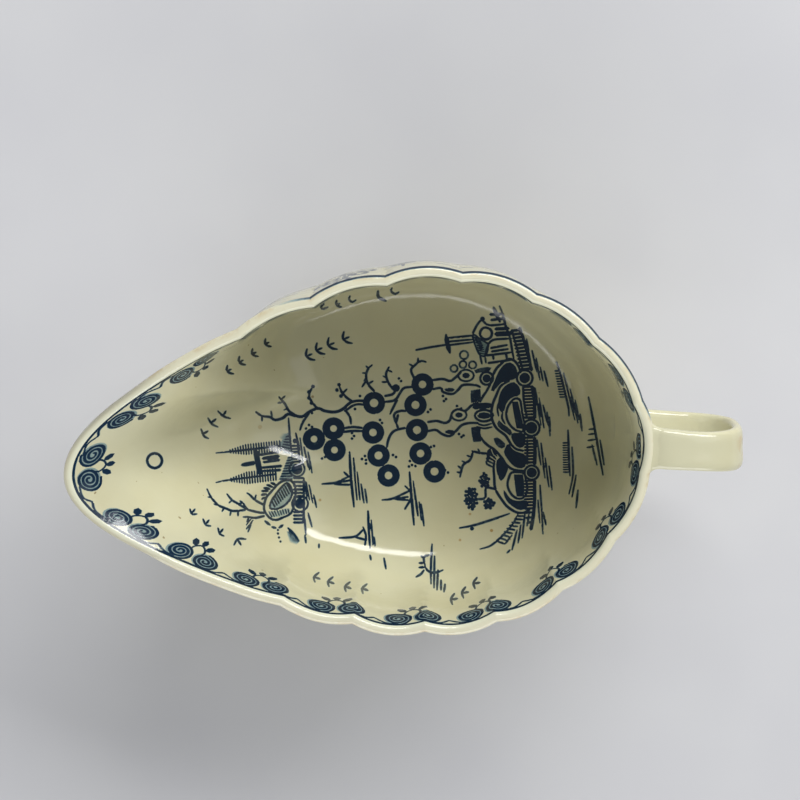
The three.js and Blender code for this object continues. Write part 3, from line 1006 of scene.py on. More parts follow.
@dataclass
class LandscapePainter:
    """An island landscape of the common kind, set out as it is seen from above the bowl.

    Places are in the units of the sheet, across and down from its top left corner.

    Attributes:
        brush: a brush on a seen sheet.
    """

    brush: Brush

    def paint(self) -> None:
        """Draw the whole scene."""
        self.brush.ring((154.6, 460.7), 7.4, 1.8)
        self.birds()
        self.church()
        self.left_bank()
        self.left_rock()
        self.left_twigs()
        self.fruits()
        self.branches()
        self.pavilion()
        self.right_bank()
        self.right_rocks()
        self.right_trees()
        self.water()
        self.boats()
        self.reeds()
        self.stains()

    def strokes(self, lines: Sequence[Points], width: float, strength: float = 0.9,
                pointed: tuple[float, float] = (0.55, 0.45)) -> None:
        """Draw several lines of one width.

        Args:
            lines: the points of each.
            width: their width.
            strength: how much cobalt they carry.
            pointed: what is left of the width at their two ends.
        """
        for line in lines:
            self.brush.stroke(line, width, strength, pointed)

    def hatch(self, first: Segment, last: Segment, count: int, width: float,
              strength: float = 0.9) -> None:
        """Draw evenly spaced lines.

        Args:
            first: the first line's ends.
            last: the last line's ends.
            count: how many there are.
            width: their width.
            strength: how much cobalt they carry.
        """
        for line in np.linspace(first, last, count):
            self.brush.stroke(line, width, strength, (0.7, 0.6))

    def dots(self, places: Points, radius: float) -> None:
        """Set down small dots."""
        for place in np.reshape(places, (-1, 2)):
            self.brush.blob(place, radius)

    def birds(self) -> None:
        """Draw the flocks: each bird is a curved stroke with a short one across it."""
        sky = [
            ((229, 370), 0.75), ((241, 361), 0.75), ((254, 353), 0.7), ((267, 343), 0.7), ((309, 355), 1.0),
            ((319, 349), 1.0), ((331, 344), 1.05), ((346, 338), 1.05), ((338, 304), 0.6)]
        wings = np.array([(-2, -6), (-3, 0), (1, 4), (6, 5)])
        for (x, y), size in sky:
            self.strokes([wings * size + (x, y)], 1.7, 0.95)
            self.strokes([[(x - 2 * size, y + size), (x + 3 * size, y - size)]], 1.4)
        self.strokes([
            (324, 304, 321, 307, 323, 309, 328, 307), (350, 296, 349, 299, 352, 302, 356, 300), (392, 288,
            391, 291, 395, 294, 399, 292)], 1.5)
        self.strokes([(378, 291, 378.5, 297, 386, 301)], 2.1, 1.0)
        self.strokes([
            (218, 411, 223, 416, 230.5, 418.5), (223, 416, 226, 411), (208, 418, 212, 424, 218, 427),
            (211, 423, 216, 419), (201, 429, 204, 436, 208.5, 438.5), (203, 434, 208, 431)], 1.5)
        self.strokes([
            (190, 509, 192, 514, 197, 514), (192, 513, 195, 509), (203, 519, 206, 525, 211, 526), (206, 524,
            209, 520), (218, 528, 220, 534, 224, 536), (220, 533, 223, 529), (234, 545, 238, 539, 246, 539),
            (238, 540, 241, 545)], 1.4)
        for x, y in ((316, 577), (330, 581.5), (347, 586.5), (364, 588.5)):
            self.strokes([[(x + 3, y - 4.5), (x - 2, y), (x - 1, y + 5)], [(x - 1, y), (x + 4, y + 2)]], 1.5)
        for x, y in ((453.5, 599), (464.5, 592.5), (476, 583)):
            self.strokes([[(x + 1, y - 5.5), (x - 2.5, y), (x - 1, y + 5.5)],
                          [(x - 2, y + 0.5), (x + 4, y - 0.5)]], 1.6)

    def church(self) -> None:
        """Draw the church on the left island, lying on its side with its two spires."""
        self.strokes([(288.5, 418, 289.5, 432, 292, 455)], 1.3)
        self.brush.stroke((216, 453, 245, 450, 279, 446), 1.3, 0.95, (0.4, 1))
        self.brush.stroke((216, 482.5, 229, 480, 276, 474), 1.3, 0.95, (0.4, 1))
        for index, x in enumerate(np.arange(230, 280, 2.6)):
            reach = 1.4 + 3.6 * min(1, index / 6)
            middle = 453 - (x - 216) * 0.11
            self.brush.stroke([(x, middle - reach), (x + 0.8, middle + reach * 0.9)], 1.15, 0.9)
        for index, x in enumerate(np.arange(231, 277, 2.6)):
            reach = 1.4 + 4.2 * min(1, index / 6)
            middle = 481 - (x - 222) * 0.125
            self.brush.stroke([(x, middle - reach), (x + 0.8, middle + reach)], 1.15, 0.9)
        self.brush.stroke((256, 452, 258, 463, 260, 473), 4.2, 1.0)
        self.strokes([(242, 465, 254, 463), (263, 458.5, 278, 456.5)], 3.0, 1.0, (0.6, 1))
        self.strokes([
            (264, 462, 279, 460), (261, 468, 281, 466), (259, 455, 278, 452), (262, 471, 280, 470)], 1.9,
            0.9, (1, 1))
        self.brush.wash((289, 432, 291, 440, 291, 453, 281, 450, 280, 445, 285, 436), 0.45)
        self.brush.wash((291, 456, 286, 462, 283, 472, 279, 480, 293, 480, 293, 460), 0.45)
        self.hatch(((286, 437), (290, 436)), ((281, 449), (291, 452)), 6, 1.1)
        self.hatch(((288, 458), (292, 457)), ((280, 479), (292, 479)), 9, 1.1)

    def left_bank(self) -> None:
        """Draw the left island's bank, a ladder with two dark boulders, and the ripples beside it."""
        self.strokes([
            (295.5, 433, 298, 445, 300, 462, 301, 470), (303.5, 478, 304, 500, 303.5, 522)], 1.5, 0.95, (0.6,
            1))
        self.brush.blob((295, 441), 2.2)
        for y in (446, 449, 452, 456, 459, 462):
            self.brush.stroke([(292, y), (299, y - 0.4)], 1.4, 0.95)
        for y in (478, 482, 486, 489.5, 493, 497, 512, 515.5, 519, 522.5):
            self.brush.stroke([(294, y), (303.5, y)], 1.5, 0.95)
        for (x, y), dark, ring in (((297, 469), 5.4, 7.6), ((300, 503.5), 5.0, 8.0)):
            self.brush.blob((x, y), dark)
            self.brush.ring((x, y), ring, 1.2)
        self.strokes([
            (296, 433, 300, 450), (300, 438, 303, 463), (304, 447, 308, 467), (308, 452, 312, 473),
            (304, 478, 307, 498), (309, 485, 313, 503), (313.5, 495, 316.5, 507.5), (304, 512, 306, 535),
            (308, 513, 312, 527), (305, 535, 306, 543), (319, 544, 319, 548), (306, 455, 309.5, 470),
            (306, 482, 309.5, 500)], 1.3, 0.85)

    def left_rock(self) -> None:
        """Draw the striped rock of the left island and the tuft beside it."""
        rock = [
            (264, 507), (266, 498), (271, 492), (277, 485), (283, 481), (290, 480), (295, 486), (295.5, 495),
            (294, 505), (291, 513), (284, 517), (276, 520), (270, 518), (265, 512), (264, 507)]
        self.brush.stroke(rock, 1.5)
        leaf = [
            (270, 508), (272, 500), (280, 489), (287, 483), (292, 490), (291, 498), (285, 505), (277, 509),
            (270, 508)]
        self.brush.wash(leaf[:-1], 0.35)
        self.brush.stroke(leaf, 1.3)
        self.hatch(((272, 501), (275, 507)), ((287, 484), (291, 492)), 9, 1.35)
        self.strokes([
            (262, 499, 266, 497), (261.5, 495, 266.5, 494), (262, 491, 268, 491), (264, 488, 270, 489),
            (267, 485, 273, 487), (271, 483, 276, 485)], 2.0, 1.0)
        self.strokes([(265, 521, 270, 525), (272, 527, 276, 528), (279, 528, 283, 525)], 1.8)
        self.dots((278, 530, 278, 533.5, 279, 537.5, 280.5, 541.5), 0.9)
        self.brush.wash((288, 528, 293, 533, 299, 540, 297, 542, 291, 537), 0.7)
        self.strokes([(288, 528, 293, 533, 299, 541)], 1.6)
        self.brush.wash((268, 511, 277, 511.5, 288, 508, 291, 511, 284, 516, 272, 517), 0.25)
        self.hatch(((269, 512), (272, 517)), ((288, 509), (289, 513)), 8, 1.0, 0.8)

    def left_twigs(self) -> None:
        """Draw the bare tree that leans out from the left island."""
        self.strokes([
            (264, 505, 255, 500, 250, 495, 247, 493), (264, 513, 257, 512, 247, 509, 243, 503, 240, 501),
            (247, 509, 240, 505, 232, 500, 227, 494), (245, 510, 233, 511, 225, 508, 218, 505, 211, 497,
            207, 489), (264, 516, 255, 518, 249, 517)], 1.5, 0.92, (1, 0.5))
        self.strokes([
            (224, 508, 222, 511.5), (231, 511, 230, 515.5), (238, 511, 238, 516), (249, 517, 247, 522),
            (251, 519, 246.5, 525), (253, 520, 246.5, 529), (250, 517, 243, 517), (252, 521, 248, 532),
            (255, 500, 256, 495), (243, 503, 238, 504), (232, 500, 229, 503), (218, 505, 214, 504),
            (211, 497, 208, 497)], 1.2)

    def fruits(self) -> None:
        """Draw the ring-shaped fruits and the clusters of three dots between them."""
        fruits = (
            ((314, 439), 4.2), ((333.5, 428.5), 4.2), ((334.5, 450), 4.2), ((374, 403), 5.0),
            ((373, 432.5), 4.6), ((378.5, 455.5), 4.8), ((388.5, 475.5), 4.6), ((422.5, 384.5), 4.6),
            ((415.5, 405), 4.8), ((417, 430), 4.8), ((420.5, 453.5), 4.6), ((434.5, 471.5), 4.8))
        outer = 10.6
        for middle, hole in fruits:
            width = (outer - hole) / 2
            self.brush.ring(middle, outer - width / 2 + 0.15, width - 0.2, 1.0)
            self.brush.ring(middle, hole + width / 2 - 0.15, width - 0.2, 0.98)
        self.dots(
            (309, 425, 312, 427, 306, 428.5, 354, 436, 352, 438.5, 362, 459, 365, 456, 366, 460, 325, 457,
            322, 458.5, 393, 455, 396, 457, 401, 381, 399, 378.5, 360, 396, 443, 396, 446, 399, 444, 401,
            459, 434, 461.5, 437, 463.5, 435.5, 410, 461, 412, 465, 415.5, 466, 409, 466.5, 445, 470,
            448, 472.5, 431, 447, 434, 446, 428, 412, 430.5, 409.5, 457, 406, 461, 408.5, 380, 420, 382, 423,
            312, 413, 355, 409, 366, 463.5, 352, 433), 1.15)

    def branches(self) -> None:
        """Draw the two long branches that carry the fruits, and their twigs."""
        self.brush.stroke(
            (256, 412, 262, 416, 270, 417, 275, 420, 283, 418, 288, 414, 296, 416, 303, 416.5, 309, 412,
            318, 408.5, 325, 411, 335, 412, 343, 409, 350, 403, 357, 401, 366, 401), 2.0, 0.97, (0.6, 1))
        self.strokes([
            (345, 411, 352, 406, 358, 404, 366, 405), (385, 396, 393, 394, 396, 389), (385, 402, 395, 400,
            400, 393, 404, 388, 412, 387), (433, 380, 443, 379, 450, 381, 456, 377, 461, 372), (433, 389,
            441, 388, 443, 392, 452, 394, 458, 390, 463, 385, 475, 385, 480, 387), (428, 422, 437, 421,
            445, 423, 450, 420, 452, 413, 458, 409, 465, 411, 472, 405, 478, 403), (428, 431, 436, 430,
            442, 434, 450, 436, 456, 431, 462, 425, 470, 423, 478, 423), (405, 428, 396, 430, 391, 434,
            388, 441, 387, 447), (398, 428, 394, 415, 400, 411, 406, 411), (398, 415, 396, 423), (343, 432,
            352, 431, 362, 431), (345, 428, 353, 427, 362, 428)], 1.7, 0.92, (0.9, 0.8))
        self.strokes([
            (297, 416, 289, 411, 285, 404, 279, 397), (318, 409, 312, 402, 309, 395, 313, 386), (353, 402,
            346, 397, 341, 391, 339, 384), (374, 391, 368, 384, 366, 376, 368, 369, 372, 365), (393, 389,
            388, 382, 386, 374, 389, 367), (414, 378, 411, 370, 415, 365, 421, 361, 426, 362), (309, 413,
            303, 422, 300, 430), (346, 411, 350, 417, 351, 424), (397, 400, 393, 408, 390, 414)], 1.6, 0.93,
            (1, 0.6))
        self.strokes([
            (366, 381, 362, 387), (367, 377, 364, 381), (367, 373, 362.5, 373), (369, 369, 366, 366),
            (387, 382, 382, 382), (386.5, 378, 383, 376), (388, 370, 392, 372), (413, 366, 409, 364),
            (418, 363, 418, 358), (272, 417, 271, 411), (288, 408, 284, 410), (283, 402, 278, 403),
            (281, 400, 285, 396), (262, 416, 262, 421), (343, 393, 347, 389), (368, 384, 373, 381)], 1.3)
        self.dots((313, 386.5, 309, 392, 309, 398, 311.5, 403, 339, 384.5, 337, 390, 341, 396), 1.7)
        self.brush.blob((396, 388), 3.6)
        blossoms = (((466, 375.5), 3.4, 2.6, True), ((449.5, 390), 4.6, 1.9, False),
                    ((459, 415), 3.4, 2.4, True), ((450, 432), 4.2, 1.9, False))
        for middle, wide, high, outlined in blossoms:
            self.brush.blob(middle, high, 1.0, wide / high)
            if outlined:
                self.brush.ring(middle, high + 3.2, 1.2, 0.9, 1.35)
        self.brush.blob((486.7, 378.4), 3.9)
        self.brush.ring((486.7, 378.4), 6.4, 1.5)

    def pavilion(self) -> None:
        """Draw the pavilion on the far bank, its window, its roofs and the moored mast."""
        self.strokes([(493.5, 307.5, 500, 322)], 2.6, 1.0)
        self.strokes([(499.5, 306, 503, 315, 506, 327, 510, 338, 513, 355, 515, 362)], 1.6)
        self.strokes([(490.5, 314.5, 503, 314), (491.5, 320, 504, 318.5)], 1.8, 0.95, (1, 1))
        self.brush.blob((482.5, 319), 2.2)
        self.strokes([
            (473, 333, 477, 325, 482, 319), (482, 320, 488, 325, 496, 325, 505, 324), (511, 338.5, 493, 340,
            487.5, 347, 485, 356), (491, 348, 507, 345), (492, 351.5, 508, 349), (486, 355.5, 511, 352.5),
            (493, 355, 493.5, 359), (506, 353, 507, 359), (488.5, 363, 511, 360)], 1.5, 0.92, (1, 0.8))
        self.brush.ring((486, 333.5), 6.0, 1.7)
        self.strokes([(496, 329, 508, 328.5)], 2.4, 1.0, (1, 1))
        self.strokes([(496.5, 334, 510, 333.5)], 3.6, 1.0, (1, 1))
        roof = [
            (473, 334), (480, 339), (488, 344), (487, 352), (485, 356), (480, 355), (476, 347), (473, 338),
            (473, 334)]
        self.brush.wash(roof[:-1], 0.5)
        self.brush.stroke(roof, 1.2)
        self.hatch(((474, 337), (481, 341)), ((480, 353), (485, 354)), 7, 1.1)
        self.strokes([(480, 355, 482, 364), (485, 356, 486, 363)], 1.3)
        self.strokes([
            (448, 338, 473, 335.5), (450, 341.5, 473, 339.5), (450, 345, 473, 342), (448, 344.5, 432, 347,
            416, 350)], 1.4, 0.92, (0.9, 0.8))
        self.brush.stroke((446, 334.5, 447.5, 344, 450, 353), 3.4, 1.0, (0.3, 0.3))
        for x, y, radius in ((464, 355, 4.2), (463, 364.5, 3.6), (472.5, 365, 3.8), (454, 368.5, 3.6)):
            self.brush.ring((x, y), radius, 1.2, 0.8)

    def right_bank(self) -> None:
        """Draw the long bank on the right as a ladder with dark boulders in it."""
        self.brush.stroke((519.5, 328, 524.5, 342, 528.5, 356, 531.5, 370), 2.2)
        self.brush.stroke((512, 330, 514.5, 340, 518, 352, 520.5, 362, 522.5, 369), 1.6)
        for index, y in enumerate((330, 333.5, 337, 340.5, 344, 347.5, 351, 354.5, 358, 361.5, 365, 368.5)):
            self.brush.stroke([(511.5 + index * 0.85, y + 1), (519.5 + index, y)], 1.9, 0.97)
        for first, last in ((387, 420), (438, 464), (481, 510)):
            for y in np.arange(first, last, 3.05):
                self.brush.stroke([(523.5 + (y > 400) * 1.5, y), (532.5, y - 0.3)], 1.85, 0.97)
        self.strokes([(525, 513, 532, 512), (526, 518, 532, 517), (527, 523, 532, 522)], 1.8)
        self.brush.stroke((532.5, 387, 534.5, 402, 534.5, 418), 2.6)
        self.brush.stroke((523, 386, 524, 402, 527, 418), 1.5)
        self.brush.stroke((534.5, 438, 535, 452, 534.5, 464), 2.6)
        self.brush.stroke((534.5, 481, 534.5, 500, 533, 518, 531, 529), 2.4)
        self.brush.stroke((527, 440, 527.5, 452, 527, 464), 1.4)
        for middle, dark, ring in (((524.7, 378), 5.0, 7.9), ((531.3, 427.8), 5.7, 8.3),
                                   ((531.7, 472.6), 4.8, 7.2)):
            self.brush.blob(middle, dark)
            self.brush.ring(middle, ring, 1.5)

    def right_rocks(self) -> None:
        """Draw the heaped rocks: dark crowns with a pale edge, and the two striped hollows."""
        for crown in self.crowns():
            self.brush.patch(crown)
        for shade in (
                [(499, 420.5), (502.5, 424), (507, 427), (511.5, 431), (510.5, 435.5), (506.5, 432.5),
                 (501, 429), (497.5, 425)],
                [(494, 438.5), (498, 438), (502.5, 441.5), (505.5, 445), (503, 448), (499.5, 447.5),
                 (496, 444)],
                [(474.5, 370.5), (482, 368), (491, 367.5), (488, 371.5), (481, 372), (476, 373)]):
            self.brush.patch(shade, 0.85)
        self.hatch(((471.5, 391), (472, 402.5)), ((479.5, 389.5), (480, 401.5)), 6, 1.3)
        self.hatch(((472, 428), (474, 441.5)), ((478.5, 427), (480.5, 441)), 7, 1.3)
        self.strokes([
            (485.5, 393, 490, 384.5, 492.5, 377, 495.5, 370, 500, 364.8, 505, 360.6, 509.7, 359, 514.6, 361,
            518.6, 366.3, 520.6, 372.5), (509, 381, 503, 384, 499.4, 388, 496.8, 394, 493.8, 401, 491.8, 408,
            491.3, 414.5, 492.6, 421, 496, 427.5, 501, 432, 505.5, 435.5, 508.5, 440, 511.5, 445, 516, 449,
            523, 450.8), (480, 429, 479, 433, 482, 439.5, 488, 445.5, 493.5, 449, 498, 453.5, 502.5, 459,
            506, 464.5, 511, 468.5, 517, 470.4, 523.5, 471), (494.7, 461, 493.6, 467, 494.2, 477, 494.8, 487,
            497.6, 493.5, 502, 500, 506.5, 505.8, 512, 510, 518, 512.8, 524, 512.6, 529.5, 509.5),
            (486.3, 391.5, 482.5, 397, 480, 402)], 1.7, 0.97, (0.8, 0.8))
        self.hollow(
            (515, 398.5, 509.5, 404, 507, 409.5, 506.3, 415, 507.5, 420.5, 510.8, 426, 515.8, 430,
            521.5, 431.8, 525, 429.8, 524.6, 424, 522.4, 414, 521.2, 406, 520, 400), ((512.5, 402), (517.5,
            402)), ((517, 428), (523.2, 428.5)))
        self.hollow(
            (512, 472.5, 508.8, 478, 507.5, 484, 508.6, 489.5, 512, 495, 517, 498.4, 522.3, 498.2,
            526.2, 494, 527.4, 487, 525.8, 479.5, 523.2, 473), ((514.8, 475), (522.5, 475)), ((517.5, 496),
            (523.5, 496)))
        self.brush.patch((474.5, 404.5, 482, 403, 492, 404, 491, 407.6, 481.5, 408.6, 473, 409))
        self.brush.blob((484, 415.6), 3.0, 1.0, 2.1)
        self.brush.ring((484, 415.6), 5.8, 1.6, 0.95, 1.55)
        self.strokes([
            (476.5, 423.5, 484, 425.5, 491.5, 423.5), (477, 426.5, 484, 428.3, 492, 427), (488, 450.5,
            489, 457, 494.5, 461.5), (490.3, 449.5, 492, 455, 496, 459.3), (492.5, 449.5, 494.3, 453,
            497, 456), (499, 401, 497.6, 409, 498.6, 416), (502.6, 412, 502, 418, 505, 424)], 1.3, 0.9)

    def crowns(self) -> tuple[Points, ...]:
        """The dark masses of the rocks, from the far end to the near one.

        Returns:
            The outline of each.
        """
        return (
            (506.5, 363.5, 511.5, 363.2, 515.8, 367.5, 517, 373, 516, 378, 511.3, 379.5, 506, 381,
            500.5, 383, 496.5, 387.5, 493, 391.7, 491.3, 390, 493.2, 385, 496, 378.3, 499, 371.7,
            502.6, 366.6), (510.8, 383, 515.2, 382.8, 518.8, 386.7, 520.4, 391.7, 518.6, 395.4, 513.6, 396.6,
            509.5, 399, 506.4, 403, 504.6, 408.3, 502.8, 412.5, 500.2, 410.6, 498.6, 408, 498.4, 402.8,
            499.4, 397, 501.2, 391.7, 505.2, 386.4), (511.6, 434, 516.9, 433, 524.2, 433.8, 525.4, 439.4,
            524.8, 444.4, 521.8, 447.5, 517.6, 446.6, 514.2, 443, 512, 438.6), (505.4, 448.4, 508.6, 443.4,
            512, 448.8, 517.6, 452.4, 523.4, 453.6, 525.6, 456.2, 526.1, 461, 525.1, 466.1, 521.3, 468,
            516, 467, 511.6, 463.6, 507.4, 458.2, 504.4, 453), (497, 460.6, 500.6, 458, 504.4, 463,
            507.8, 468, 506.2, 473, 503.9, 478, 500.4, 480.6, 498, 475, 496.6, 468.3), (503.8, 490.2,
            506.6, 494.2, 510.6, 499, 516.9, 501.2, 523.6, 500.4, 527.4, 501.4, 528, 505.2, 524.4, 508.8,
            519.1, 509.6, 513.8, 506.8, 508.4, 502.4, 504.8, 496.4))

    def hollow(self, outline: Points, first: Segment, last: Segment) -> None:
        """Draw a hollow in the rocks: a pale crescent beside a band of thick stripes.

        Args:
            outline: its edge.
            first: the band's first stripe.
            last: its last one.
        """
        self.brush.stroke((*outline, *outline[:2]), 1.5)
        stripes = round((last[0][1] - first[0][1]) / 3.0)
        self.hatch((first[0], last[0]), (first[1], last[1]), stripes, 1.25, 0.97)

    def right_trees(self) -> None:
        """Draw the bush, the twig, the small leafy tree and the striped slope below the rocks."""
        for shift in range(4):
            x, y = 491 - shift * 0.6, 448 + shift * 3.4
            self.strokes([[(x, y), (x - 3, y + 5), (x + 4, y + 9)]], 1.3)
        self.strokes([
            (487, 453.5, 480, 453, 472, 451), (473, 452, 470, 460, 464, 464, 462, 468, 460, 477), (495, 489,
            486, 488, 485, 498, 475, 499, 470, 499)], 1.6, 0.92, (1, 0.6))
        self.strokes([
            (471, 457, 467, 455.5), (466, 463, 462, 461), (462, 469, 458, 466), (461, 473, 457, 472),
            (480, 453, 478, 449)], 1.3)
        self.leaves((484.5, 480.5), 4.8, 7.5, 18)
        self.leaves((471.3, 498.3), 6.6, 11, 34)
        self.leaves((489, 503.9), 5.6, 5, 16)
        self.strokes([(459.5, 528, 473, 525.5, 491, 520, 509.5, 513.5)], 1.6)
        self.brush.blob((472, 528.5), 1.8)
        self.strokes([
            (518, 514, 512, 525, 500, 538, 490, 546, 480, 549), (525, 513, 522, 538), (521, 525, 518, 543),
            (517, 530, 512, 550), (512, 535, 505, 544), (510, 550, 507, 553), (529, 514, 527, 526)], 1.4)
        self.hatch(((517, 516), (525, 516)), ((497, 541), (505, 544)), 9, 1.3)

    def leaves(self, middle: Point, wide: float, high: float, count: int) -> None:
        """Set down leaf dots over an oval, in a sunflower's order so that they stay apart.

        Args:
            middle: the oval's middle.
            wide: half its width.
            high: half its height.
            count: how many dots there are.
        """
        for index in range(count):
            size = math.sqrt((index + 0.5) / count)
            angle = index * math.pi * (3 - math.sqrt(5))
            place = (middle[0] + wide * size * math.cos(angle), middle[1] + high * size * math.sin(angle))
            self.brush.blob(place, 1.5, 0.95)

    def water(self) -> None:
        """Draw the ripples between the banks and the reeds that stand in them."""
        self.strokes([
            (521.5, 333, 530, 366), (526.5, 339, 531, 366), (532, 350.5, 537, 372), (536, 358, 540, 380),
            (540, 367, 543, 381), (544, 371, 548, 386.5), (535, 388, 541, 425), (539, 398, 544, 428),
            (543, 405, 548, 425), (547, 412, 549, 428), (549.5, 417, 550, 436), (537, 440, 541, 465),
            (541, 443, 545, 478), (545, 458, 549, 487), (549, 466, 552, 490), (540, 485, 543, 534),
            (538, 500, 540, 523), (543, 512, 546, 525), (563.5, 373, 575, 420), (570, 389, 578, 423),
            (575, 400, 579, 420), (580, 414, 582, 431), (572, 447, 573, 475, 569, 494), (576, 475, 572, 497),
            (578, 490, 576, 508), (600, 440, 604, 465), (592, 445, 597, 465)], 1.4, 0.85)
        self.strokes([
            (556.5, 362, 561, 376, 568, 405, 569, 416), (568, 430, 569, 460, 570, 476), (588.5, 397,
            594, 425, 603, 475)], 1.6, 0.9)
        self.hatch(((555, 371), (560, 371)), ((560, 397), (566, 397)), 11, 1.2, 0.85)
        self.hatch(((563, 443), (569, 443)), ((563.5, 472), (570, 472)), 13, 1.2, 0.85)
        self.strokes([
            (589, 429.5, 595, 428.5), (588.5, 434.5, 595, 433.5), (588, 440.5, 595, 439.5), (587, 447.5,
            594, 446.5)], 1.2)

    def boats(self) -> None:
        """Draw the three boats, each a pointed hull with its masts lying across it."""
        self.strokes([
            (322, 484, 336, 482.5, 350, 476), (336, 483, 351, 480), (334, 484, 351, 485), (344, 472,
            349, 477), (382, 500, 393, 498.5, 409, 491), (393, 499, 408, 497), (393, 499, 408, 500),
            (405, 486, 410, 491, 411, 498, 405, 509), (339, 538, 355, 536.5, 363, 530), (355, 537, 366, 540),
            (363, 527, 366, 536, 365, 545)], 1.5, 0.92, (0.5, 0.8))
        self.strokes([
            (349.5, 452, 351, 478, 354, 507), (409.5, 472, 411, 490, 414, 525), (368, 511, 369, 530,
            370, 548), (416, 500, 418, 516)], 1.9, 0.97)
        self.strokes([
            (353.5, 458, 357, 500), (357, 472, 360, 500), (361, 484, 364, 503), (365, 489, 367, 503),
            (413, 481, 418, 516), (421, 504, 424, 526), (371, 520, 373, 545), (374, 537, 375, 546),
            (370, 555, 371, 560), (384, 558, 386, 569), (419, 502, 421.5, 520)], 1.4, 0.88)

    def reeds(self) -> None:
        """Draw the reeds by the near rim and the little hull among them."""
        self.strokes([
            (432, 544, 431, 565, 431, 584), (434.5, 556, 434, 588), (438, 570, 437, 590), (441, 580,
            441, 590), (445, 584, 444, 592)], 1.5)
        self.strokes([
            (425, 566, 427, 570, 432, 572.5, 438, 572, 443, 570), (430, 555, 424, 557, 425, 566), (424, 558,
            421, 556), (424, 563, 419, 563), (425, 567, 419, 567.5), (424, 570, 421, 574, 416, 577)], 1.6)

    def stains(self) -> None:
        """Set down the brown specks and stains in the glaze."""
        for middle, radius, strength in (((491.5, 530.5), 1.3, 1.0), ((320, 500), 1.1, 0.8),
                                         ((260, 427), 1.9, 0.4), ((460, 540), 1.0, 0.8),
                                         ((470, 514), 1.0, 0.8)):
            self.brush.blob(middle, radius, strength, 1.0, Pigment.STAIN)


@dataclass
class OutsidePainter:
    """The painting on the outside: a cobalt band below the rim and an island on either side.

    Attributes:
        brush: a brush on the outside's wall sheet.
        spacing: millimetres from one bar of the band to the next.
        top: how far below the rim the band starts.
        bottom: how far below the rim it ends.
        lean: how far along the rim a bar's foot stands from its head.
        lengths: strokes in the band's two edge lines.
        middles: where along the rim the two islands stand.
        ground: how far below the rim their banks lie.
    """

    brush: Brush
    spacing: float = 2.7
    top: float = 0.9
    bottom: float = 8.6
    lean: float = 0.9
    lengths: int = 16
    middles: tuple[float, float] = (112.0, -112.0)
    ground: float = 36.0

    def paint(self, rim_length: float) -> None:
        """Draw the band and the islands.

        Args:
            rim_length: millimetres once round the rim.
        """
        count = round(rim_length / self.spacing)
        for index in range(count):
            start = rim_length * index / count
            self.brush.stroke([(start, self.top), (start + self.lean, self.bottom)], 1.5)
        for index in range(self.lengths):
            start, end = (rim_length * place / self.lengths for place in (index, index + 1))
            for height, width in ((self.top, 1.2), (self.bottom, 0.9)):
                self.brush.stroke([(start, height), (end, height)], width)
        for middle in self.middles:
            self.island(middle)

    def island(self, middle: float) -> None:
        """Draw a bank with a pavilion, a tree and ripples, upright on the wall.

        Args:
            middle: its place along the rim.
        """
        for start, end, drop in ((-24, -6, 0), (-14, 12, 2.2), (-2, 22, 4.4), (6, 27, 6.6), (-30, -14, 5)):
            height = self.ground + drop
            ripple = [(middle + start, height), (middle + (start + end) / 2, height - 0.8),
                      (middle + end, height)]
            self.brush.stroke(ripple, 0.8, 0.9, (0.4, 0.4))
        for side, crown in ((-12, 6.0), (-4, 4.4), (13, 5.2)):
            corners = ((-1, 0), (-0.6, 0.8), (0, 1.1), (0.7, 0.7), (1, 0))
            self.brush.patch([(middle + side + crown * x, self.ground - crown * y) for x, y in corners], 0.8)
        self.pavilion(middle + 5)
        self.tree(middle - 12)
        for along, height in ((16, 19), (20, 17.5), (24, 19.5), (-30, 23), (-34, 21.5)):
            x = middle + along
            self.brush.stroke([(x - 1.6, height - 0.6), (x, height), (x + 1.6, height - 1)], 0.6)

    def pavilion(self, x: float) -> None:
        """Draw a pavilion of two storeys, narrower above, each under a turned-up roof.

        Args:
            x: its middle along the rim.
        """
        for half, floor, height in ((4.2, self.ground, 5.0), (2.8, self.ground - 7.4, 4.0)):
            roof = floor - height
            for post in (-half, -half / 3, half / 3, half):
                self.brush.stroke([(x + post, floor), (x + post, roof)], 0.6)
            self.brush.patch([(x - half - 2.4, roof - 0.6), (x - half, roof - 1.2), (x, roof - 2.6),
                              (x + half, roof - 1.2), (x + half + 2.4, roof - 0.6), (x, roof)], 0.9)
        self.brush.stroke([(x, self.ground - 14), (x, self.ground - 18)], 0.6)

    def tree(self, x: float) -> None:
        """Draw a leaning tree that carries ring-shaped fruits.

        Args:
            x: the foot of its trunk along the rim.
        """
        foot = self.ground - 5
        self.brush.stroke([(x, foot), (x - 1.5, foot - 6), (x + 1, foot - 11), (x - 1, foot - 16)], 1.1)
        for side, rise in ((-4.5, 13), (3.5, 13.5), (-1.5, 18), (-7.5, 9), (5.5, 9)):
            self.brush.stroke([(x - 0.5, foot - 8), (x + side * 0.6, foot - rise * 0.8)], 0.7)
            self.brush.ring((x + side, foot - rise), 2.0, 1.3)


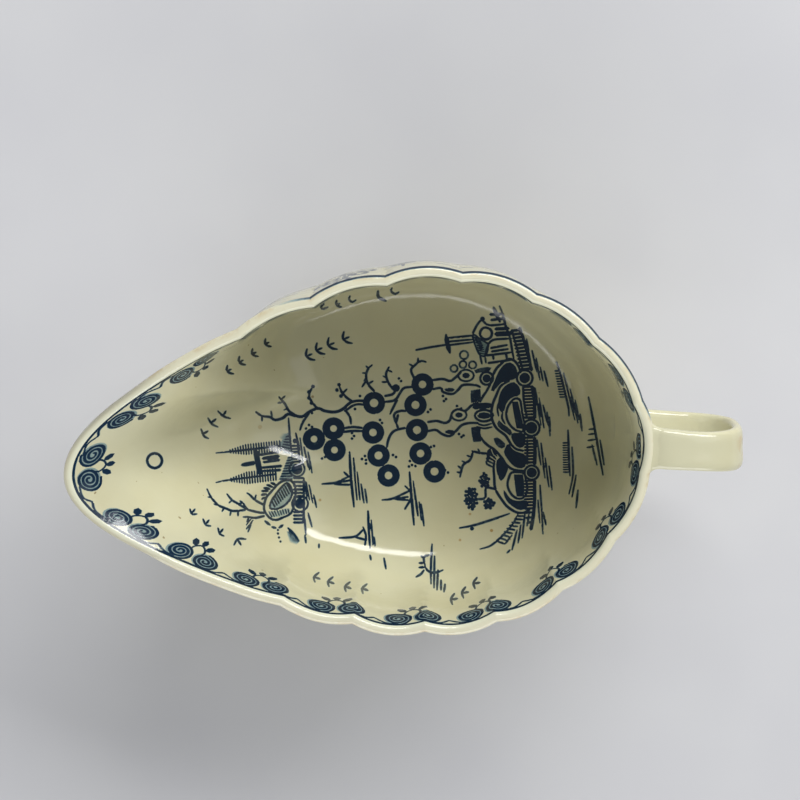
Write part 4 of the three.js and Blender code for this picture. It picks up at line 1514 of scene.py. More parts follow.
def make_piece(name: str, points: np.ndarray, faces: Sequence[Sequence[int]], material: bpy.types.Material,
               nodes: Sequence[str]) -> bpy.types.Object:
    """Turn plain arrays into an object that rides on the frame's one body.

    Args:
        name: the piece's name.
        points: its vertices, in millimetres.
        faces: corner indices of each face.
        material: its finish.
        nodes: the CAD nodes that it stands for.

    Returns:
        The new object.
    """
    mesh = bpy.data.meshes.new(name)
    mesh.from_pydata((np.asarray(points) * MM).tolist(), [], [list(map(int, face)) for face in faces])
    mesh.update()
    mesh.shade_smooth()
    mesh.materials.append(material)
    piece = bpy.data.objects.new(name, mesh)
    bpy.context.collection.objects.link(piece)
    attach(piece, "root")
    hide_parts(*nodes)
    log.info("%s: %d faces", name, len(mesh.polygons))
    return piece


def tube_faces(rings: int, corners: int, closed: bool) -> list[tuple[int, ...]]:
    """Faces of a tube.

    Args:
        rings: how many sections it has.
        corners: how many points each section has.
        closed: whether it closes on itself, where it otherwise has a cap at each end.

    Returns:
        Corner indices of each face.
    """
    faces: list[tuple[int, ...]] = []
    for ring in range(rings if closed else rings - 1):
        here, there = ring * corners, (ring + 1) % rings * corners
        for corner in range(corners):
            following = (corner + 1) % corners
            faces.append((here + corner, there + corner, there + following, here + following))
    if not closed:
        faces.append(tuple(range(corners)))
        faces.append(tuple(reversed(range((rings - 1) * corners, rings * corners))))
    return faces


def swept_piece(name: str, rings: np.ndarray, material: bpy.types.Material,
                sharp: float = math.radians(50)) -> bpy.types.Object:
    """Make a piece from sections that go once round and meet.

    Args:
        name: the piece's name, and its CAD node's.
        rings: the points of every section, in millimetres.
        material: its finish.
        sharp: edges that turn further than this stay crisp.

    Returns:
        The new object, with its faces pointing out of it.
    """
    faces = tube_faces(*rings.shape[:2], closed=True)
    piece = make_piece(name, rings.reshape(-1, 3), faces, material, [name])
    volume = sum(face.center.dot(face.normal) * face.area for face in piece.data.polygons)
    if volume < 0:
        piece.data.flip_normals()
    piece.data.set_sharp_from_angle(angle=sharp)
    return piece


@dataclass
class Bowl:
    """The bowl: two painted faces joined over the round rim."""

    inside: PaintedFace
    outside: PaintedFace
    depths: WallSheet
    rim_rows: int = 9
    rim_width: float = 5.0  # how far apart its edges are in what the mesh says of the way down
    under_rim: float = 0.9985  # the share of the way up at which the wall's slope is taken
    inside_scale: float = 0.0039  # of the unwrapped picture, for each millimetre
    outside_scale: float = 0.002
    inside_corner: Point = (0.01, 0.01)
    outside_corner: Point = (0.01, 0.665)
    strip_share: float = 0.006  # a row's width over the rim on the unwrapped picture
    margin: float = 1.08
    cobalt_start: tuple[float, float] = (1.25, 1.5)  # turns between which it climbs on to the rim
    cobalt_end: tuple[float, float] = (2.9, 3.05)
    cobalt_edge: tuple[float, float] = (0.6, 0.7)

    @property
    def over(self) -> np.ndarray:
        """How far over the rim each row lies, from 0 at its inner edge to 1 at its outer one."""
        return np.arange(1, self.rim_rows + 1) / (self.rim_rows + 1)

    def rim_points(self, turn: np.ndarray) -> tuple[np.ndarray, np.ndarray]:
        """The round rim, from its inner edge to its outer one.

        Args:
            turn: angles round the bowl.

        Returns:
            Points and normals, row by row.
        """
        face = self.inside.face
        shape = face.layout.shape
        edge = face.layout.paper(turn, 1.0)
        top = face.inner_points(edge)
        up = unit(top - face.inner_points(face.layout.paper(turn, self.under_rim)))
        out = -face.inner_normals(edge)
        radius = (shape.wall - shape.skin) / 2
        normals = np.array([unit(out * math.cos(angle) + up * math.sin(angle))
                            for angle in math.pi * (1 - self.over)])
        return top + out * radius + radius * normals, normals

    def build(self, material: bpy.types.Material) -> bpy.types.Object:
        """Make the bowl's mesh with its pigments, its normals and its flat layout.

        Args:
            material: its finish.

        Returns:
            The bowl.
        """
        inner_paper, inner_faces, inner_levels = self.inside.triangulate()
        outer_paper, outer_faces, outer_levels = self.outside.triangulate()
        columns = self.inside.boundary
        turn = round_angles(columns)
        rim, rim_normals = self.rim_points(turn)
        inner_count, rim_count = len(inner_paper), self.rim_rows * columns
        points = np.concatenate([self.inside.face.points(inner_paper), rim.reshape(-1, 3),
                                 self.outside.face.points(outer_paper)])
        normals = np.concatenate([self.inside.face.normals(inner_paper), rim_normals.reshape(-1, 3),
                                  self.outside.face.normals(outer_paper)])
        strip, strip_spots = self.rim_strip(columns, inner_count, rim_count)
        faces = np.concatenate([inner_faces, strip, outer_faces + inner_count + rim_count])
        spots = np.concatenate([
            self.flat(inner_paper, self.inside_scale, self.inside_corner)[inner_faces], strip_spots,
            self.flat(outer_paper, self.outside_scale, self.outside_corner)[outer_faces]])
        self.turn_out(points, normals, faces, spots)
        piece = make_piece("body", points, faces, material, ["body"])
        mesh = piece.data
        mesh.normals_split_custom_set_from_vertices(normals.tolist())
        mesh.uv_layers.new(name="OFBake").data.foreach_set("uv", spots.reshape(-1).astype(np.float32))
        on_rim = {Pigment.COBALT: self.rim_cobalt(turn), Pigment.STAIN: np.zeros(rim_count)}
        levels = {pigment.value: [inner_levels[pigment], on_rim[pigment], outer_levels[pigment]]
                  for pigment in Pigment}
        levels["down"] = [self.depths.depth(inner_paper), -self.rim_width * np.repeat(self.over, columns),
                          -self.rim_width - self.depths.depth(outer_paper)]
        for name, parts in levels.items():
            values = np.concatenate(parts).astype(np.float32)
            mesh.attributes.new(name, "FLOAT", "POINT").data.foreach_set("value", values)
        return piece

    def rim_cobalt(self, turn: np.ndarray) -> np.ndarray:
        """The cobalt of the outside's band, where it has climbed on to the rim's outer edge."""
        along = smoothstep(turn, *self.cobalt_start) * (1 - smoothstep(turn, *self.cobalt_end))
        return (0.95 * smoothstep(self.over, *self.cobalt_edge)[:, None] * along).reshape(-1)

    def rim_strip(self, columns: int, inner_count: int, rim_count: int) -> tuple[np.ndarray, np.ndarray]:
        """The faces over the rim, laid out as a border round the inside.

        Args:
            columns: points round the rim.
            inner_count: vertices of the inner face, which come first.
            rim_count: vertices of the rim, which come next.

        Returns:
            Triangles, and the places of their corners on the unwrapped picture.
        """
        turn = np.linspace(0, FULL_TURN, columns + 1)
        starts = [0, *range(inner_count, inner_count + rim_count, columns), inner_count + rim_count]
        faces, corners = [], []
        for row, (here, there) in enumerate(zip(starts, starts[1:])):
            low, high = (self.flat(self.inside.face.layout.paper(turn, 1 + (row + step) * self.strip_share),
                                   self.inside_scale, self.inside_corner) for step in (0, 1))
            for column in range(columns):
                following = (column + 1) % columns
                faces.append((here + column, here + following, there + following))
                faces.append((here + column, there + following, there + column))
                corners.append((low[column], low[column + 1], high[column + 1]))
                corners.append((low[column], high[column + 1], high[column]))
        return np.array(faces), np.array(corners)

    def flat(self, paper: np.ndarray, scale: float, corner: Point) -> np.ndarray:
        """Places on the unwrapped picture for places on the paper."""
        layout = self.inside.face.layout
        return (paper - layout.centre + layout.half_axes(layout.reach * self.margin)) * scale + corner

    @staticmethod
    def turn_out(points: np.ndarray, normals: np.ndarray, faces: np.ndarray, corners: np.ndarray) -> None:
        """List each face's corners so that it faces out of the clay.

        Args:
            points: the vertices.
            normals: the way out of the clay at each.
            faces: triangles, changed in place.
            corners: what belongs to each triangle's corners, changed in place.
        """
        a, b, c = (points[faces[:, corner]] for corner in range(3))
        wrong = (np.cross(b - a, c - a) * normals[faces].sum(1)).sum(1) < 0
        faces[wrong] = faces[wrong][:, ::-1]
        corners[wrong] = corners[wrong][:, ::-1]


@dataclass
class Clay:
    """The finished bowl, for finding where other clay lands on it."""

    face: BowlFace
    piece: bpy.types.Object

    def __post_init__(self) -> None:
        """Make the search tree, in millimetres."""
        points = [vertex.co / MM for vertex in self.piece.data.vertices]
        self.tree = BVHTree.FromPolygons(points, [tuple(face.vertices) for face in self.piece.data.polygons])


@dataclass(frozen=True)
class StrapShape:
    """The strap handle, with the sizes of the CAD source in millimetres."""

    reach: float = 27.4
    sidestep: float = 1.0
    skew: float = 3.0
    thickness: float = 4.2
    widths: tuple[float, float, float, float] = (12.0, 11.3, 12.4, 10.2)
    places: tuple[float, float, float, float] = (0.2, 0.4, 0.5, 0.8)
    root_below_rim: float = 4.6
    rise: float = 3.0
    loop_height: float = 32.5
    loop_depth: float = 20.0
    squareness: float = 2.6
    edge_squareness: float = 2.5
    face_squareness: float = 3.2
    dish: float = 0.35
    skin: float = 0.05
    upper_sunk: float = 2.2  # how far its ends reach into the wall
    lower_sunk: float = 3.2

    def width(self, share: np.ndarray) -> np.ndarray:
        """The width along the strap: narrowest after the root, widest at the bend.

        Args:
            share: how far along it, from 0 to 1.

        Returns:
            A width for each.
        """
        root, waist, bend_width, end = self.widths
        width = root + (waist - root) * smoothstep(share, 0, self.places[0])
        width = width + (bend_width - width) * smoothstep(share, self.places[0], self.places[1])
        return width + (end - width) * smoothstep(share, self.places[2], self.places[3])


@dataclass
class Handle:
    """The strap and the slip fillets at its two roots."""

    bowl: BowlShape
    wall: Clay
    strap: StrapShape = field(default_factory=StrapShape)
    sections: int = 150
    corners: int = 56
    lead_points: int = 30  # of the middle line on each straight end
    loop_points: int = 160
    fillet: float = 2.2  # how far it spreads over the wall, in millimetres
    fillet_climb: float = 4.2  # how far it climbs along the strap
    fillet_points: int = 14
    buried: float = 0.3  # how deep its hidden side lies

    def root(self, height: float) -> float:
        """How far out the bowl's back stands.

        Args:
            height: above the table.

        Returns:
            The distance from the frame's origin.
        """
        share = np.linspace(0, 1, 2001)
        layout = self.wall.face.layout
        points = self.wall.face.points(layout.paper(np.full_like(share, math.pi), share))
        return float(np.interp(height, points[:, 2], points[:, 0]))

    def path(self) -> np.ndarray:
        """The strap's middle line, from the upper root round the loop to the lower one.

        Returns:
            Evenly spaced points.
        """
        strap = self.strap
        top = float(self.bowl.rim_height(np.array(math.pi))) - strap.root_below_rim + strap.rise
        upper, lower = self.root(top - strap.rise), self.root(top - strap.loop_height)
        outermost = self.bowl.length / 2 + strap.reach - strap.thickness / 2 + self.bowl.shift
        start = outermost - strap.loop_depth
        power = 2 / strap.squareness
        lead = np.linspace(0, 1, self.lead_points, endpoint=False)
        angle = np.linspace(math.pi / 2, -math.pi / 2, self.loop_points)
        upper_end, lower_end = upper - strap.upper_sunk, lower - strap.lower_sunk
        x = np.concatenate([upper_end + (start - upper_end) * lead,
                            start + strap.loop_depth * np.maximum(0, np.cos(angle)) ** power,
                            (lower_end + (start - lower_end) * lead)[::-1]])
        loop = np.sign(np.sin(angle)) * np.abs(np.sin(angle)) ** power
        z = np.concatenate([top - strap.rise * (1 - lead) ** 2, top + strap.loop_height / 2 * (loop - 1),
                            np.full_like(lead, top - strap.loop_height)])
        lean = np.clip((x - upper) / (outermost - upper), 0, 1)
        return respaced(np.stack([x, -strap.sidestep - strap.skew * lean, z], -1), self.sections)

    def rings(self) -> np.ndarray:
        """Sections along the strap.

        Returns:
            The points of each.
        """
        strap = self.strap
        path = self.path()
        for _ in range(2):
            path[1:-1] = (path[:-2] + 2 * path[1:-1] + path[2:]) / 4
        ahead = unit(np.gradient(path, axis=0))
        across = unit(np.array([0, 1, 0]) - ahead * ahead[:, 1:2])
        through = np.cross(ahead, across)
        half_thick = strap.thickness / 2 - strap.skin
        half_wide = strap.width(np.linspace(0, 1, len(path))) / 2
        angle = round_angles(self.corners)
        wide = np.sign(np.cos(angle)) * np.abs(np.cos(angle)) ** (2 / strap.face_squareness)
        thick = np.sign(np.sin(angle)) * np.abs(np.sin(angle)) ** (2 / strap.edge_squareness)
        dished = 1 - strap.dish / half_thick * np.cos(wide * math.pi / 2) ** 2 * (thick > 0)
        return (path[:, None] + across[:, None] * (half_wide[:, None] * wide)[..., None]
                + through[:, None] * (half_thick * thick * dished)[None, :, None])

    def build(self, material: bpy.types.Material) -> None:
        """Make the strap and its two fillets.

        Args:
            material: their finish.
        """
        rings = self.rings()
        faces = tube_faces(len(rings), self.corners, closed=False)
        make_piece("handle", rings.reshape(-1, 3), faces, material, ["handle"])
        swept_piece("handle_upper_lute", self.fillet_rings(rings), material)
        swept_piece("handle_lower_lute", self.fillet_rings(rings[::-1]), material)

    def fillet_rings(self, rings: np.ndarray) -> np.ndarray:
        """Sections of the slip fillet where the strap meets the wall, tangent to both.

        Args:
            rings: the strap's sections, from inside the wall outwards.

        Returns:
            A section for each corner of the strap.
        """
        middle = rings.mean(1)
        sections = []
        for corner in range(self.corners):
            line = rings[:, corner]
            hit, normal, foot = self.landing(line)
            along = np.linalg.norm(line - np.array(hit), axis=1)
            out = Vector(line[foot] - middle[foot]).normalized()
            spread = (out - normal * out.dot(normal)).normalized()
            low, _, _, _ = self.wall.tree.find_nearest(hit + spread * self.fillet)
            climb = float(np.interp(self.fillet_climb, along[foot:], np.arange(foot, len(line))))
            high = Vector(line[int(climb)]).lerp(Vector(line[int(climb) + 1]), climb % 1)
            low = low - normal * 0.05
            high = high - out * 0.02
            hidden = [high - out * self.buried, hit - (out + normal) * self.buried,
                      low - normal * (self.buried + 0.05)]
            sections.append([*fillet_curve(low, hit, high, self.fillet_points), *map(np.array, hidden)])
        return np.array(sections)

    def landing(self, line: np.ndarray) -> tuple[Vector, Vector, int]:
        """Where a line along the strap's surface comes out of the wall.

        Args:
            line: points along the strap, starting inside the wall.

        Returns:
            The place, the wall's outward normal there, and the index of the next point.
        """
        for index in range(len(line) // 4, 0, -1):
            start, step = Vector(line[index]), Vector(line[index - 1] - line[index])
            place, normal, _, _ = self.wall.tree.ray_cast(start, step, step.length)
            if place is not None:
                return place, normal if normal.dot(step) < 0 else -normal, index
        raise ValueError("the strap doesn't reach the wall")


@dataclass
class Foot:
    """The oval foot ring and the slip fillet round it, with sizes in millimetres."""

    bowl: BowlShape
    wall: Clay
    height_share: float = 0.045  # the climb at which the foot meets the wall
    thickness: float = 4.4
    splay: float = 0.8
    edge: float = 0.7  # radius of the table edge
    lute_height: float = 2.0
    lute_spread: float = 1.8
    lute_gap: float = 0.6  # how far past the spread the fillet fades out
    skin: float = 0.08  # how far the ring stays inside the CAD's facets
    stations: int = 300
    lute_points: int = 9
    arc_points: int = 6

    def line(self) -> tuple[np.ndarray, np.ndarray]:
        """The foot's middle line under the bowl.

        Returns:
            Its places, and the level way out at each.
        """
        turn = round_angles(self.stations)
        power = self.bowl.roundness(turn) / 2
        odds = (self.height_share / (1 - self.height_share)) ** (1 / power)
        places = self.wall.face.points(self.wall.face.layout.paper(turn, odds / (1 + odds)))
        ahead = np.roll(places, -1, axis=0) - np.roll(places, 1, axis=0)
        return places, unit(np.stack([-ahead[:, 1], ahead[:, 0], np.zeros(len(turn))], -1))

    def wall_height(self, place: np.ndarray) -> float:
        """Height of the bowl's underside over a place."""
        return self.wall.tree.ray_cast(Vector((place[0], place[1], -10)), Vector((0, 0, 1)))[0].z

    def build(self, glaze: bpy.types.Material, bare: bpy.types.Material) -> None:
        """Make the ring and its fillet.

        Args:
            glaze: the fillet's finish.
            bare: the ring's finish.
        """
        places, out = self.line()
        half = self.thickness / 2
        ring, lute = [], []
        for place, way in zip(places, out):
            inner_top, outer_top, flare = (
                self.wall_height(place + way * across)
                for across in (-half, half, half + self.lute_spread + self.lute_gap))
            ring.append(self.ring_section(half, inner_top, outer_top))
            lute.append(self.lute_section(half, outer_top, flare))
        for name, sections, material, slot in (("foot_ring", ring, bare, "foot_glaze"),
                                               ("foot_lute", lute, glaze, "glaze")):
            across, height = np.split(np.array(sections), 2, axis=-1)
            level = places[:, None, :2] + out[:, None, :2] * across
            swept_piece(name, np.concatenate([level, height], -1), material)

    def ring_section(self, half: float, inner_top: float, outer_top: float) -> list[Point]:
        """The foot's profile, from inside the bowl's floor round the table edge and up again.

        Args:
            half: half the ring's thickness.
            inner_top: height of the bowl's underside over its inner face.
            outer_top: height over its outer face.

        Returns:
            Pairs of distance outwards and height.
        """
        edge, foot_out = self.edge, half + self.splay - self.skin
        arc = np.linspace(0, math.pi / 2, self.arc_points)
        section = [(-half - 1.6, inner_top + 0.25), (-half - 1.5, inner_top - 0.05),
                   (-half - 0.7, inner_top - 0.25), (-half - 0.1, inner_top - 1.0)]
        section += [(-half + edge * (1 - math.cos(a)), edge * (1 - math.sin(a))) for a in arc]
        section += [(foot_out - edge * (1 - math.sin(a)), edge * (1 - math.cos(a))) for a in arc]
        section += [(half + self.splay * (1 - share) ** 1.6 - self.skin, edge + (outer_top - edge) * share)
                    for share in (0.25, 0.5, 0.75, 1.0)]
        return [*section, (half - 0.5, outer_top + 0.5), (-half + 0.5, inner_top + 0.5)]

    def lute_section(self, half: float, outer_top: float, flare: float) -> list[Point]:
        """The fillet's profile, tangent to the foot and to the bowl.

        Args:
            half: half the ring's thickness.
            outer_top: height of the bowl's underside over the ring's outer face.
            flare: height over the fillet's far edge.

        Returns:
            Pairs of distance outwards and height.
        """
        low = (half + 0.25, outer_top - self.lute_height)
        corner = (half + 0.15, outer_top + 0.05)
        high = (half + self.lute_spread + self.lute_gap, flare - 0.03)
        hidden = [(high[0], flare + 0.3), (half - 0.3, outer_top + 0.3), (half - 0.3, low[1])]
        return [*map(tuple, fillet_curve(low, corner, high, self.lute_points)), *hidden]


def linear(colour: int) -> tuple[float, float, float, float]:
    """A hexadecimal sRGB colour as linear light.

    Args:
        colour: red, green and blue.

    Returns:
        The same as linear numbers, with an alpha of 1.
    """
    channels = [(colour >> shift & 255) / 255 for shift in (16, 8, 0)]
    light = [c / 12.92 if c <= 0.04045 else ((c + 0.055) / 1.055) ** 2.4 for c in channels]
    return (*light, 1.0)


@dataclass(frozen=True)
class Mottle:
    """An uneven pattern, with the size of its features in millimetres."""

    size: float
    detail: float = 2.0
    roughness: float = 0.5

    def inputs(self, where: Socket) -> dict[str, object]:
        """The settings of the noise that draws it, on coordinates in metres."""
        return {"Vector": where, "Scale": 1 / (self.size * MM), "Detail": self.detail,
                "Roughness": self.roughness}


class Finish:
    """A material's nodes, added one at a time."""

    def __init__(self, name: str) -> None:
        """Start an empty node tree."""
        self.material = bpy.data.materials.new(name)
        self.material.use_nodes = True
        self.tree = self.material.node_tree
        self.tree.nodes.clear()

    def add(self, kind: str, output: str | int | None, inputs: dict[str | int, object] | None = None,
            **settings: object) -> Socket | None:
        """Add a node.

        Args:
            kind: Blender's name for the type of node.
            output: the one of its outputs that is wanted.
            inputs: a value or another node's socket for each of its inputs.
            settings: its properties.

        Returns:
            The wanted output.
        """
        node = self.tree.nodes.new("ShaderNode" + kind)
        for name, value in settings.items():
            setattr(node, name, value)
        for name, value in (inputs or {}).items():
            if isinstance(value, Socket):
                self.tree.links.new(value, node.inputs[name])
            else:
                node.inputs[name].default_value = value
        return None if output is None else node.outputs[output]

    def veil(self, below: object, colour: int, strength: float,
             *ranges: tuple[Socket, float, float]) -> Socket:
        """Lay a colour over another, where every one of some values is high.

        Args:
            below: the colour underneath.
            colour: the sRGB colour that is laid over it.
            strength: the most of it that shows.
            ranges: each value, with where it starts to count and where it counts in full.

        Returns:
            The mixed colour.
        """
        share: object = strength
        for value, low, high in ranges:
            level = self.add("MapRange", "Result", {"Value": value, "From Min": low, "From Max": high},
                             interpolation_type="SMOOTHSTEP")
            share = self.add("Math", 0, {0: level, 1: share}, operation="MULTIPLY")
        return self.add("Mix", 2, {0: share, 6: below, 7: linear(colour)}, data_type="RGBA")

    def coat(self, **inputs: object) -> bpy.types.Material:
        """End the material with its surface.

        Args:
            inputs: the shader's inputs, each named with _ for a space.

        Returns:
            The material.
        """
        named = {name.replace("_", " "): value for name, value in inputs.items()}
        shader = self.add("BsdfPrincipled", "BSDF", named)
        self.add("OutputMaterial", None, {"Surface": shader})
        return self.material


@dataclass(frozen=True)
class LeadGlaze:
    """Glossy lead glaze over pale pottery: greenish cream, bluer where it pools.

    The eye gets a wet, slightly rippled shine, faint clouds and specks in the cream, a paler rim
    with tan wear on its outer edge, and cobalt that is blue-grey where thin and near black where
    the brush was full.
    """

    cream: int = 0xCECBAC
    warm: int = 0xCAC5A2
    rim: int = 0xE2DEC4
    pool: int = 0xDCE0CA
    wear: int = 0xC3A670
    speck: int = 0x7A6238
    stain: int = 0xA98C55
    deep_cobalt: int = 0x03223A
    thin_cobalt: int = 0x5A828E
    ior: float = 1.54
    cloud: Mottle = Mottle(28, 3)
    speckle: Mottle = Mottle(2, 1)
    ripple: Mottle = Mottle(5)
    grain: Mottle = Mottle(0.45)  # the glaze's pitting, drawn as coarse as it needs to show
    sheen: Mottle = Mottle(9, 3)
    handling: Mottle = Mottle(5, 3)
    chafing: Mottle = Mottle(6, 4, 0.7)
    brushwork: Mottle = Mottle(1.6, 3, 0.6)
    ripple_depth: float = 0.14
    handle_end: tuple[float, float] = (0.0925, 0.0962)

    def material(self, name: str, painted: bool) -> bpy.types.Material:
        """Build the finish.

        Args:
            name: the material's name.
            painted: whether the piece carries the painting's pigments.

        Returns:
            The material.
        """
        f = Finish(name)
        where = f.add("TexCoord", "Object")
        clouds, specks, ripples, grains, sheen = (
            f.add("TexNoise", "Fac", mottle.inputs(where))
            for mottle in (self.cloud, self.speckle, self.ripple, self.grain, self.sheen))
        colour = f.veil(linear(self.cream), self.warm, 1.0, (clouds, 0.35, 0.7))
        colour = f.veil(colour, self.speck, 0.7, (specks, 0.79, 0.83))
        colour = (self.painted if painted else self.handled)(f, where, colour)
        height = f.add("Math", 0, {0: grains, 1: 0.1, 2: ripples}, operation="MULTIPLY_ADD")
        normal = f.add("Bump", "Normal", {"Strength": 0.8, "Distance": self.ripple_depth * MM,
                                          "Height": height})
        roughness = f.add("MapRange", "Result", {"Value": sheen, "From Min": 0.3, "From Max": 0.75,
                                                 "To Min": 0.07, "To Max": 0.16},
                          interpolation_type="SMOOTHSTEP")
        return f.coat(Base_Color=colour, Roughness=roughness, IOR=self.ior, Normal=normal)

    def handled(self, f: Finish, where: Socket, colour: Socket) -> Socket:
        """Wear the far end of the handle tan.

        Args:
            f: the material.
            where: coordinates in metres.
            colour: the glaze's own colour.

        Returns:
            The worn colour.
        """
        along = f.add("SeparateXYZ", "X", {"Vector": where})
        touched = f.add("TexNoise", "Fac", self.handling.inputs(where))
        return f.veil(colour, self.wear, 0.75, (along, *self.handle_end), (touched, 0.48, 0.66))

    def painted(self, f: Finish, where: Socket, colour: Socket) -> Socket:
        """Lay the pooling, the wear, the stains and the cobalt over the glaze's own colour.

        Args:
            f: the material.
            where: coordinates in metres.
            colour: the glaze's own colour.

        Returns:
            The painted colour.
        """
        down, stain, ink = (f.add("Attribute", "Fac", attribute_name=name)
                            for name in ("down", Pigment.STAIN.value, Pigment.COBALT.value))
        chafed, brushed = (f.add("TexNoise", "Fac", mottle.inputs(where))
                           for mottle in (self.chafing, self.brushwork))
        colour = f.veil(colour, self.rim, 0.75, (down, 0.8, -0.2), (down, -6.0, -4.8))
        colour = f.veil(colour, self.pool, 0.55, (down, 1.6, 0.2), (down, -1.8, -0.4))
        colour = f.veil(colour, self.wear, 0.6, (down, -1.8, -3.6), (down, -5.6, -4.6),
                        (chafed, 0.42, 0.72))
        colour = f.add("Mix", 2, {0: stain, 6: colour, 7: linear(self.stain)}, data_type="RGBA")
        pooled = f.add("MapRange", "Result", {"Value": brushed, "From Min": 0.25, "From Max": 0.75,
                                              "To Min": 0.8, "To Max": 1.15},
                       interpolation_type="SMOOTHSTEP")
        ink = f.add("Math", 0, {0: ink, 1: pooled}, operation="MULTIPLY")
        colour = f.veil(colour, self.thin_cobalt, 0.8, (ink, 0.02, 0.45))
        return f.veil(colour, self.deep_cobalt, 1.0, (ink, 0.32, 0.88))


@dataclass(frozen=True)
class WipedFoot:
    """Bare biscuit, where the glaze was wiped off the foot: dry, matt and a little grubby."""

    biscuit: int = 0xCFC3A4
    grime: int = 0x9A8560
    ior: float = 1.54
    roughness: float = 0.85
    blotch: Mottle = Mottle(3, 4)
    tooth: Mottle = Mottle(0.8, 3)
    tooth_depth: float = 0.1

    def material(self, name: str) -> bpy.types.Material:
        """Build the finish.

        Args:
            name: the material's name.

        Returns:
            The material.
        """
        f = Finish(name)
        where = f.add("TexCoord", "Object")
        blotches, tooth = (f.add("TexNoise", "Fac", mottle.inputs(where))
                           for mottle in (self.blotch, self.tooth))
        clay = f.veil(linear(self.biscuit), self.grime, 1.0, (blotches, 0.45, 0.7))
        normal = f.add("Bump", "Normal", {"Strength": 0.5, "Distance": self.tooth_depth * MM,
                                          "Height": tooth})
        return f.coat(Base_Color=clay, Roughness=self.roughness, IOR=self.ior, Normal=normal)


@dataclass(frozen=True)
class StudioPaper:
    """Matt background paper: soft, pale grey, and barely uneven."""

    light: int = 0xCFCFD1
    dark: int = 0xCBCBCE
    ior: float = 1.4
    roughness: float = 0.75
    mottle: Mottle = Mottle(60)

    def material(self) -> bpy.types.Material:
        """Build the finish.

        Returns:
            The material.
        """
        f = Finish("studio_paper")
        uneven = f.add("TexNoise", "Fac", self.mottle.inputs(f.add("TexCoord", "Object")))
        colour = f.veil(linear(self.light), self.dark, 1.0, (uneven, 0.3, 0.7))
        return f.coat(Base_Color=colour, Roughness=self.roughness, IOR=self.ior)


@dataclass(frozen=True)
class SoftBox:
    """A rectangular studio light aimed at the bowl.

    Attributes:
        name: the light's name.
        bearing: degrees round from +Y towards +X.
        elevation: degrees above the table.
        distance: metres from the bowl.
        width: metres along the table.
        height: metres the other way.
        power: watts.
        aim: height of what it is aimed at, in metres.
    """

    name: str
    bearing: float
    elevation: float
    distance: float
    width: float
    height: float
    power: float
    aim: float = 0.03

    def place(self) -> None:
        """Set the light up, out of the camera's sight."""
        lamp = bpy.data.lights.new(self.name, "AREA")
        lamp.shape = "RECTANGLE"
        lamp.size = self.width
        lamp.size_y = self.height
        lamp.energy = self.power
        light = bpy.data.objects.new(self.name, lamp)
        bearing, elevation = math.radians(self.bearing), math.radians(self.elevation)
        way = Vector((math.sin(bearing) * math.cos(elevation), math.cos(bearing) * math.cos(elevation),
                      math.sin(elevation)))
        light.location = Vector((0, 0, self.aim)) + way * self.distance
        light.rotation_mode = "QUATERNION"
        light.rotation_quaternion = way.to_track_quat("Z", "Y")
        light.visible_camera = False
        bpy.context.collection.objects.link(light)


def make_camera(eye: Eye, sensor: float = 36.0) -> None:
    """Stand the camera where the photographer stood.

    Args:
        eye: where it stands and how it is held.
        sensor: the camera's, in millimetres.
    """
    data = bpy.data.cameras.new("camera")
    data.sensor_width = sensor
    data.lens = sensor * eye.distance / (2 * eye.sheet_middle * eye.unit_size)
    camera = bpy.data.objects.new("camera", data)
    axes = Matrix(eye.axes.tolist()).transposed().to_4x4()
    camera.matrix_world = Matrix.Translation(Vector(eye.place) * MM) @ axes
    bpy.context.collection.objects.link(camera)
    bpy.context.scene.camera = camera


def make_floor(size: float = 6.0) -> None:
    """Lay the sheet of paper that the bowl stands on.

    Args:
        size: its side, in metres.
    """
    half = size / 2
    mesh = bpy.data.meshes.new("floor")
    mesh.from_pydata([(-half, -half, 0), (half, -half, 0), (half, half, 0), (-half, half, 0)], [],
                     [(0, 1, 2, 3)])
    mesh.materials.append(StudioPaper().material())
    floor = bpy.data.objects.new("floor", mesh)
    bpy.context.collection.objects.link(floor)


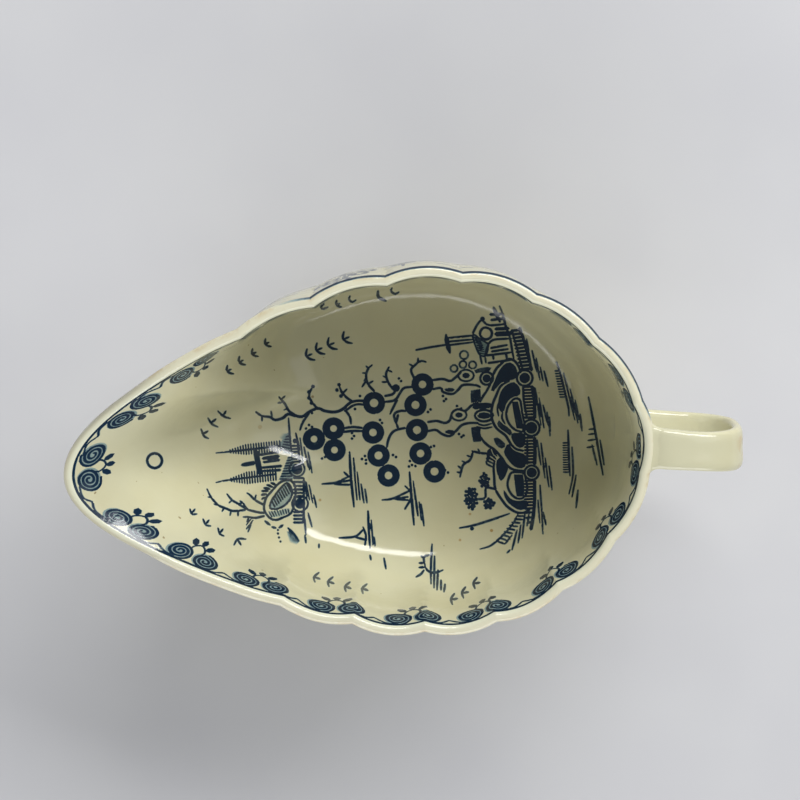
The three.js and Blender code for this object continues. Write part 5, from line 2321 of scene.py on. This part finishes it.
def light_studio(room: int = 0xC8CCD2, room_strength: float = 0.33) -> None:
    """A wide soft light behind the bowl, a pale wall in front of it, a weak fill and a dim room.

    Args:
        room: the room's colour.
        room_strength: how brightly it shines.
    """
    SoftBox("key", 28, 33, 1.3, 1.25, 0.44, 18).place()
    SoftBox("fill", 70, 50, 1.5, 1.2, 1.2, 3).place()
    SoftBox("bounce", 195, 19, 2.0, 3.6, 1.2, 46).place()
    world = bpy.data.worlds.new("room")
    world.use_nodes = True
    background = world.node_tree.nodes["Background"]
    background.inputs["Color"].default_value = linear(room)
    background.inputs["Strength"].default_value = room_strength
    bpy.context.scene.world = world


def shape_from_frame() -> BowlShape:
    """The bowl's shape, moved to where the frame has it.

    Returns:
        The shape, with its spout tip on the frame's.
    """
    shape = BowlShape()
    face = BowlFace(FlatLayout(shape), Side.INSIDE)
    edge = face.layout.paper(np.zeros(1), 1.0)
    middle = face.inner_points(edge) - face.inner_normals(edge) * shape.wall / 2
    return BowlShape(shift=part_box("body")[0].x / MM - float(middle[0, 0]) + shape.wall / 2)


def main() -> None:
    """Build the sauceboat piece by piece."""
    logging.basicConfig(level=logging.INFO, format="%(message)s")
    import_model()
    eye = Eye()
    make_camera(eye)
    shape = shape_from_frame()
    rim_length = float(shape.lengths[-1])
    layout = FlatLayout(shape)
    inside_face, outside_face = BowlFace(layout, Side.INSIDE), BowlFace(layout, Side.OUTSIDE)
    wall_sheet = WallSheet(inside_face)
    border = Brush(wall_sheet, step=0.7)
    BorderPainter(border).paint(rim_length)
    landscape = Brush(SeenSheet(inside_face, eye), eye.unit_size, weight=1.22, bleed=0.22, step=0.68)
    LandscapePainter(landscape).paint()
    glaze = LeadGlaze().material("lead_glaze", painted=False)
    painted = LeadGlaze().material("lead_glaze_over_cobalt", painted=True)
    outside = Brush(WallSheet(outside_face), step=1.8)
    OutsidePainter(outside).paint(rim_length)
    bowl = Bowl(PaintedFace(inside_face, border.marks + landscape.marks),
                PaintedFace(outside_face, outside.marks), wall_sheet)
    clay = Clay(outside_face, bowl.build(painted))
    Handle(shape, clay).build(glaze)
    Foot(shape, clay).build(glaze, WipedFoot().material("glaze_wiped_foot"))
    make_floor()
    light_studio()
    bpy.context.scene.view_settings.view_transform = "Standard"


if __name__ == "__main__":
    main()
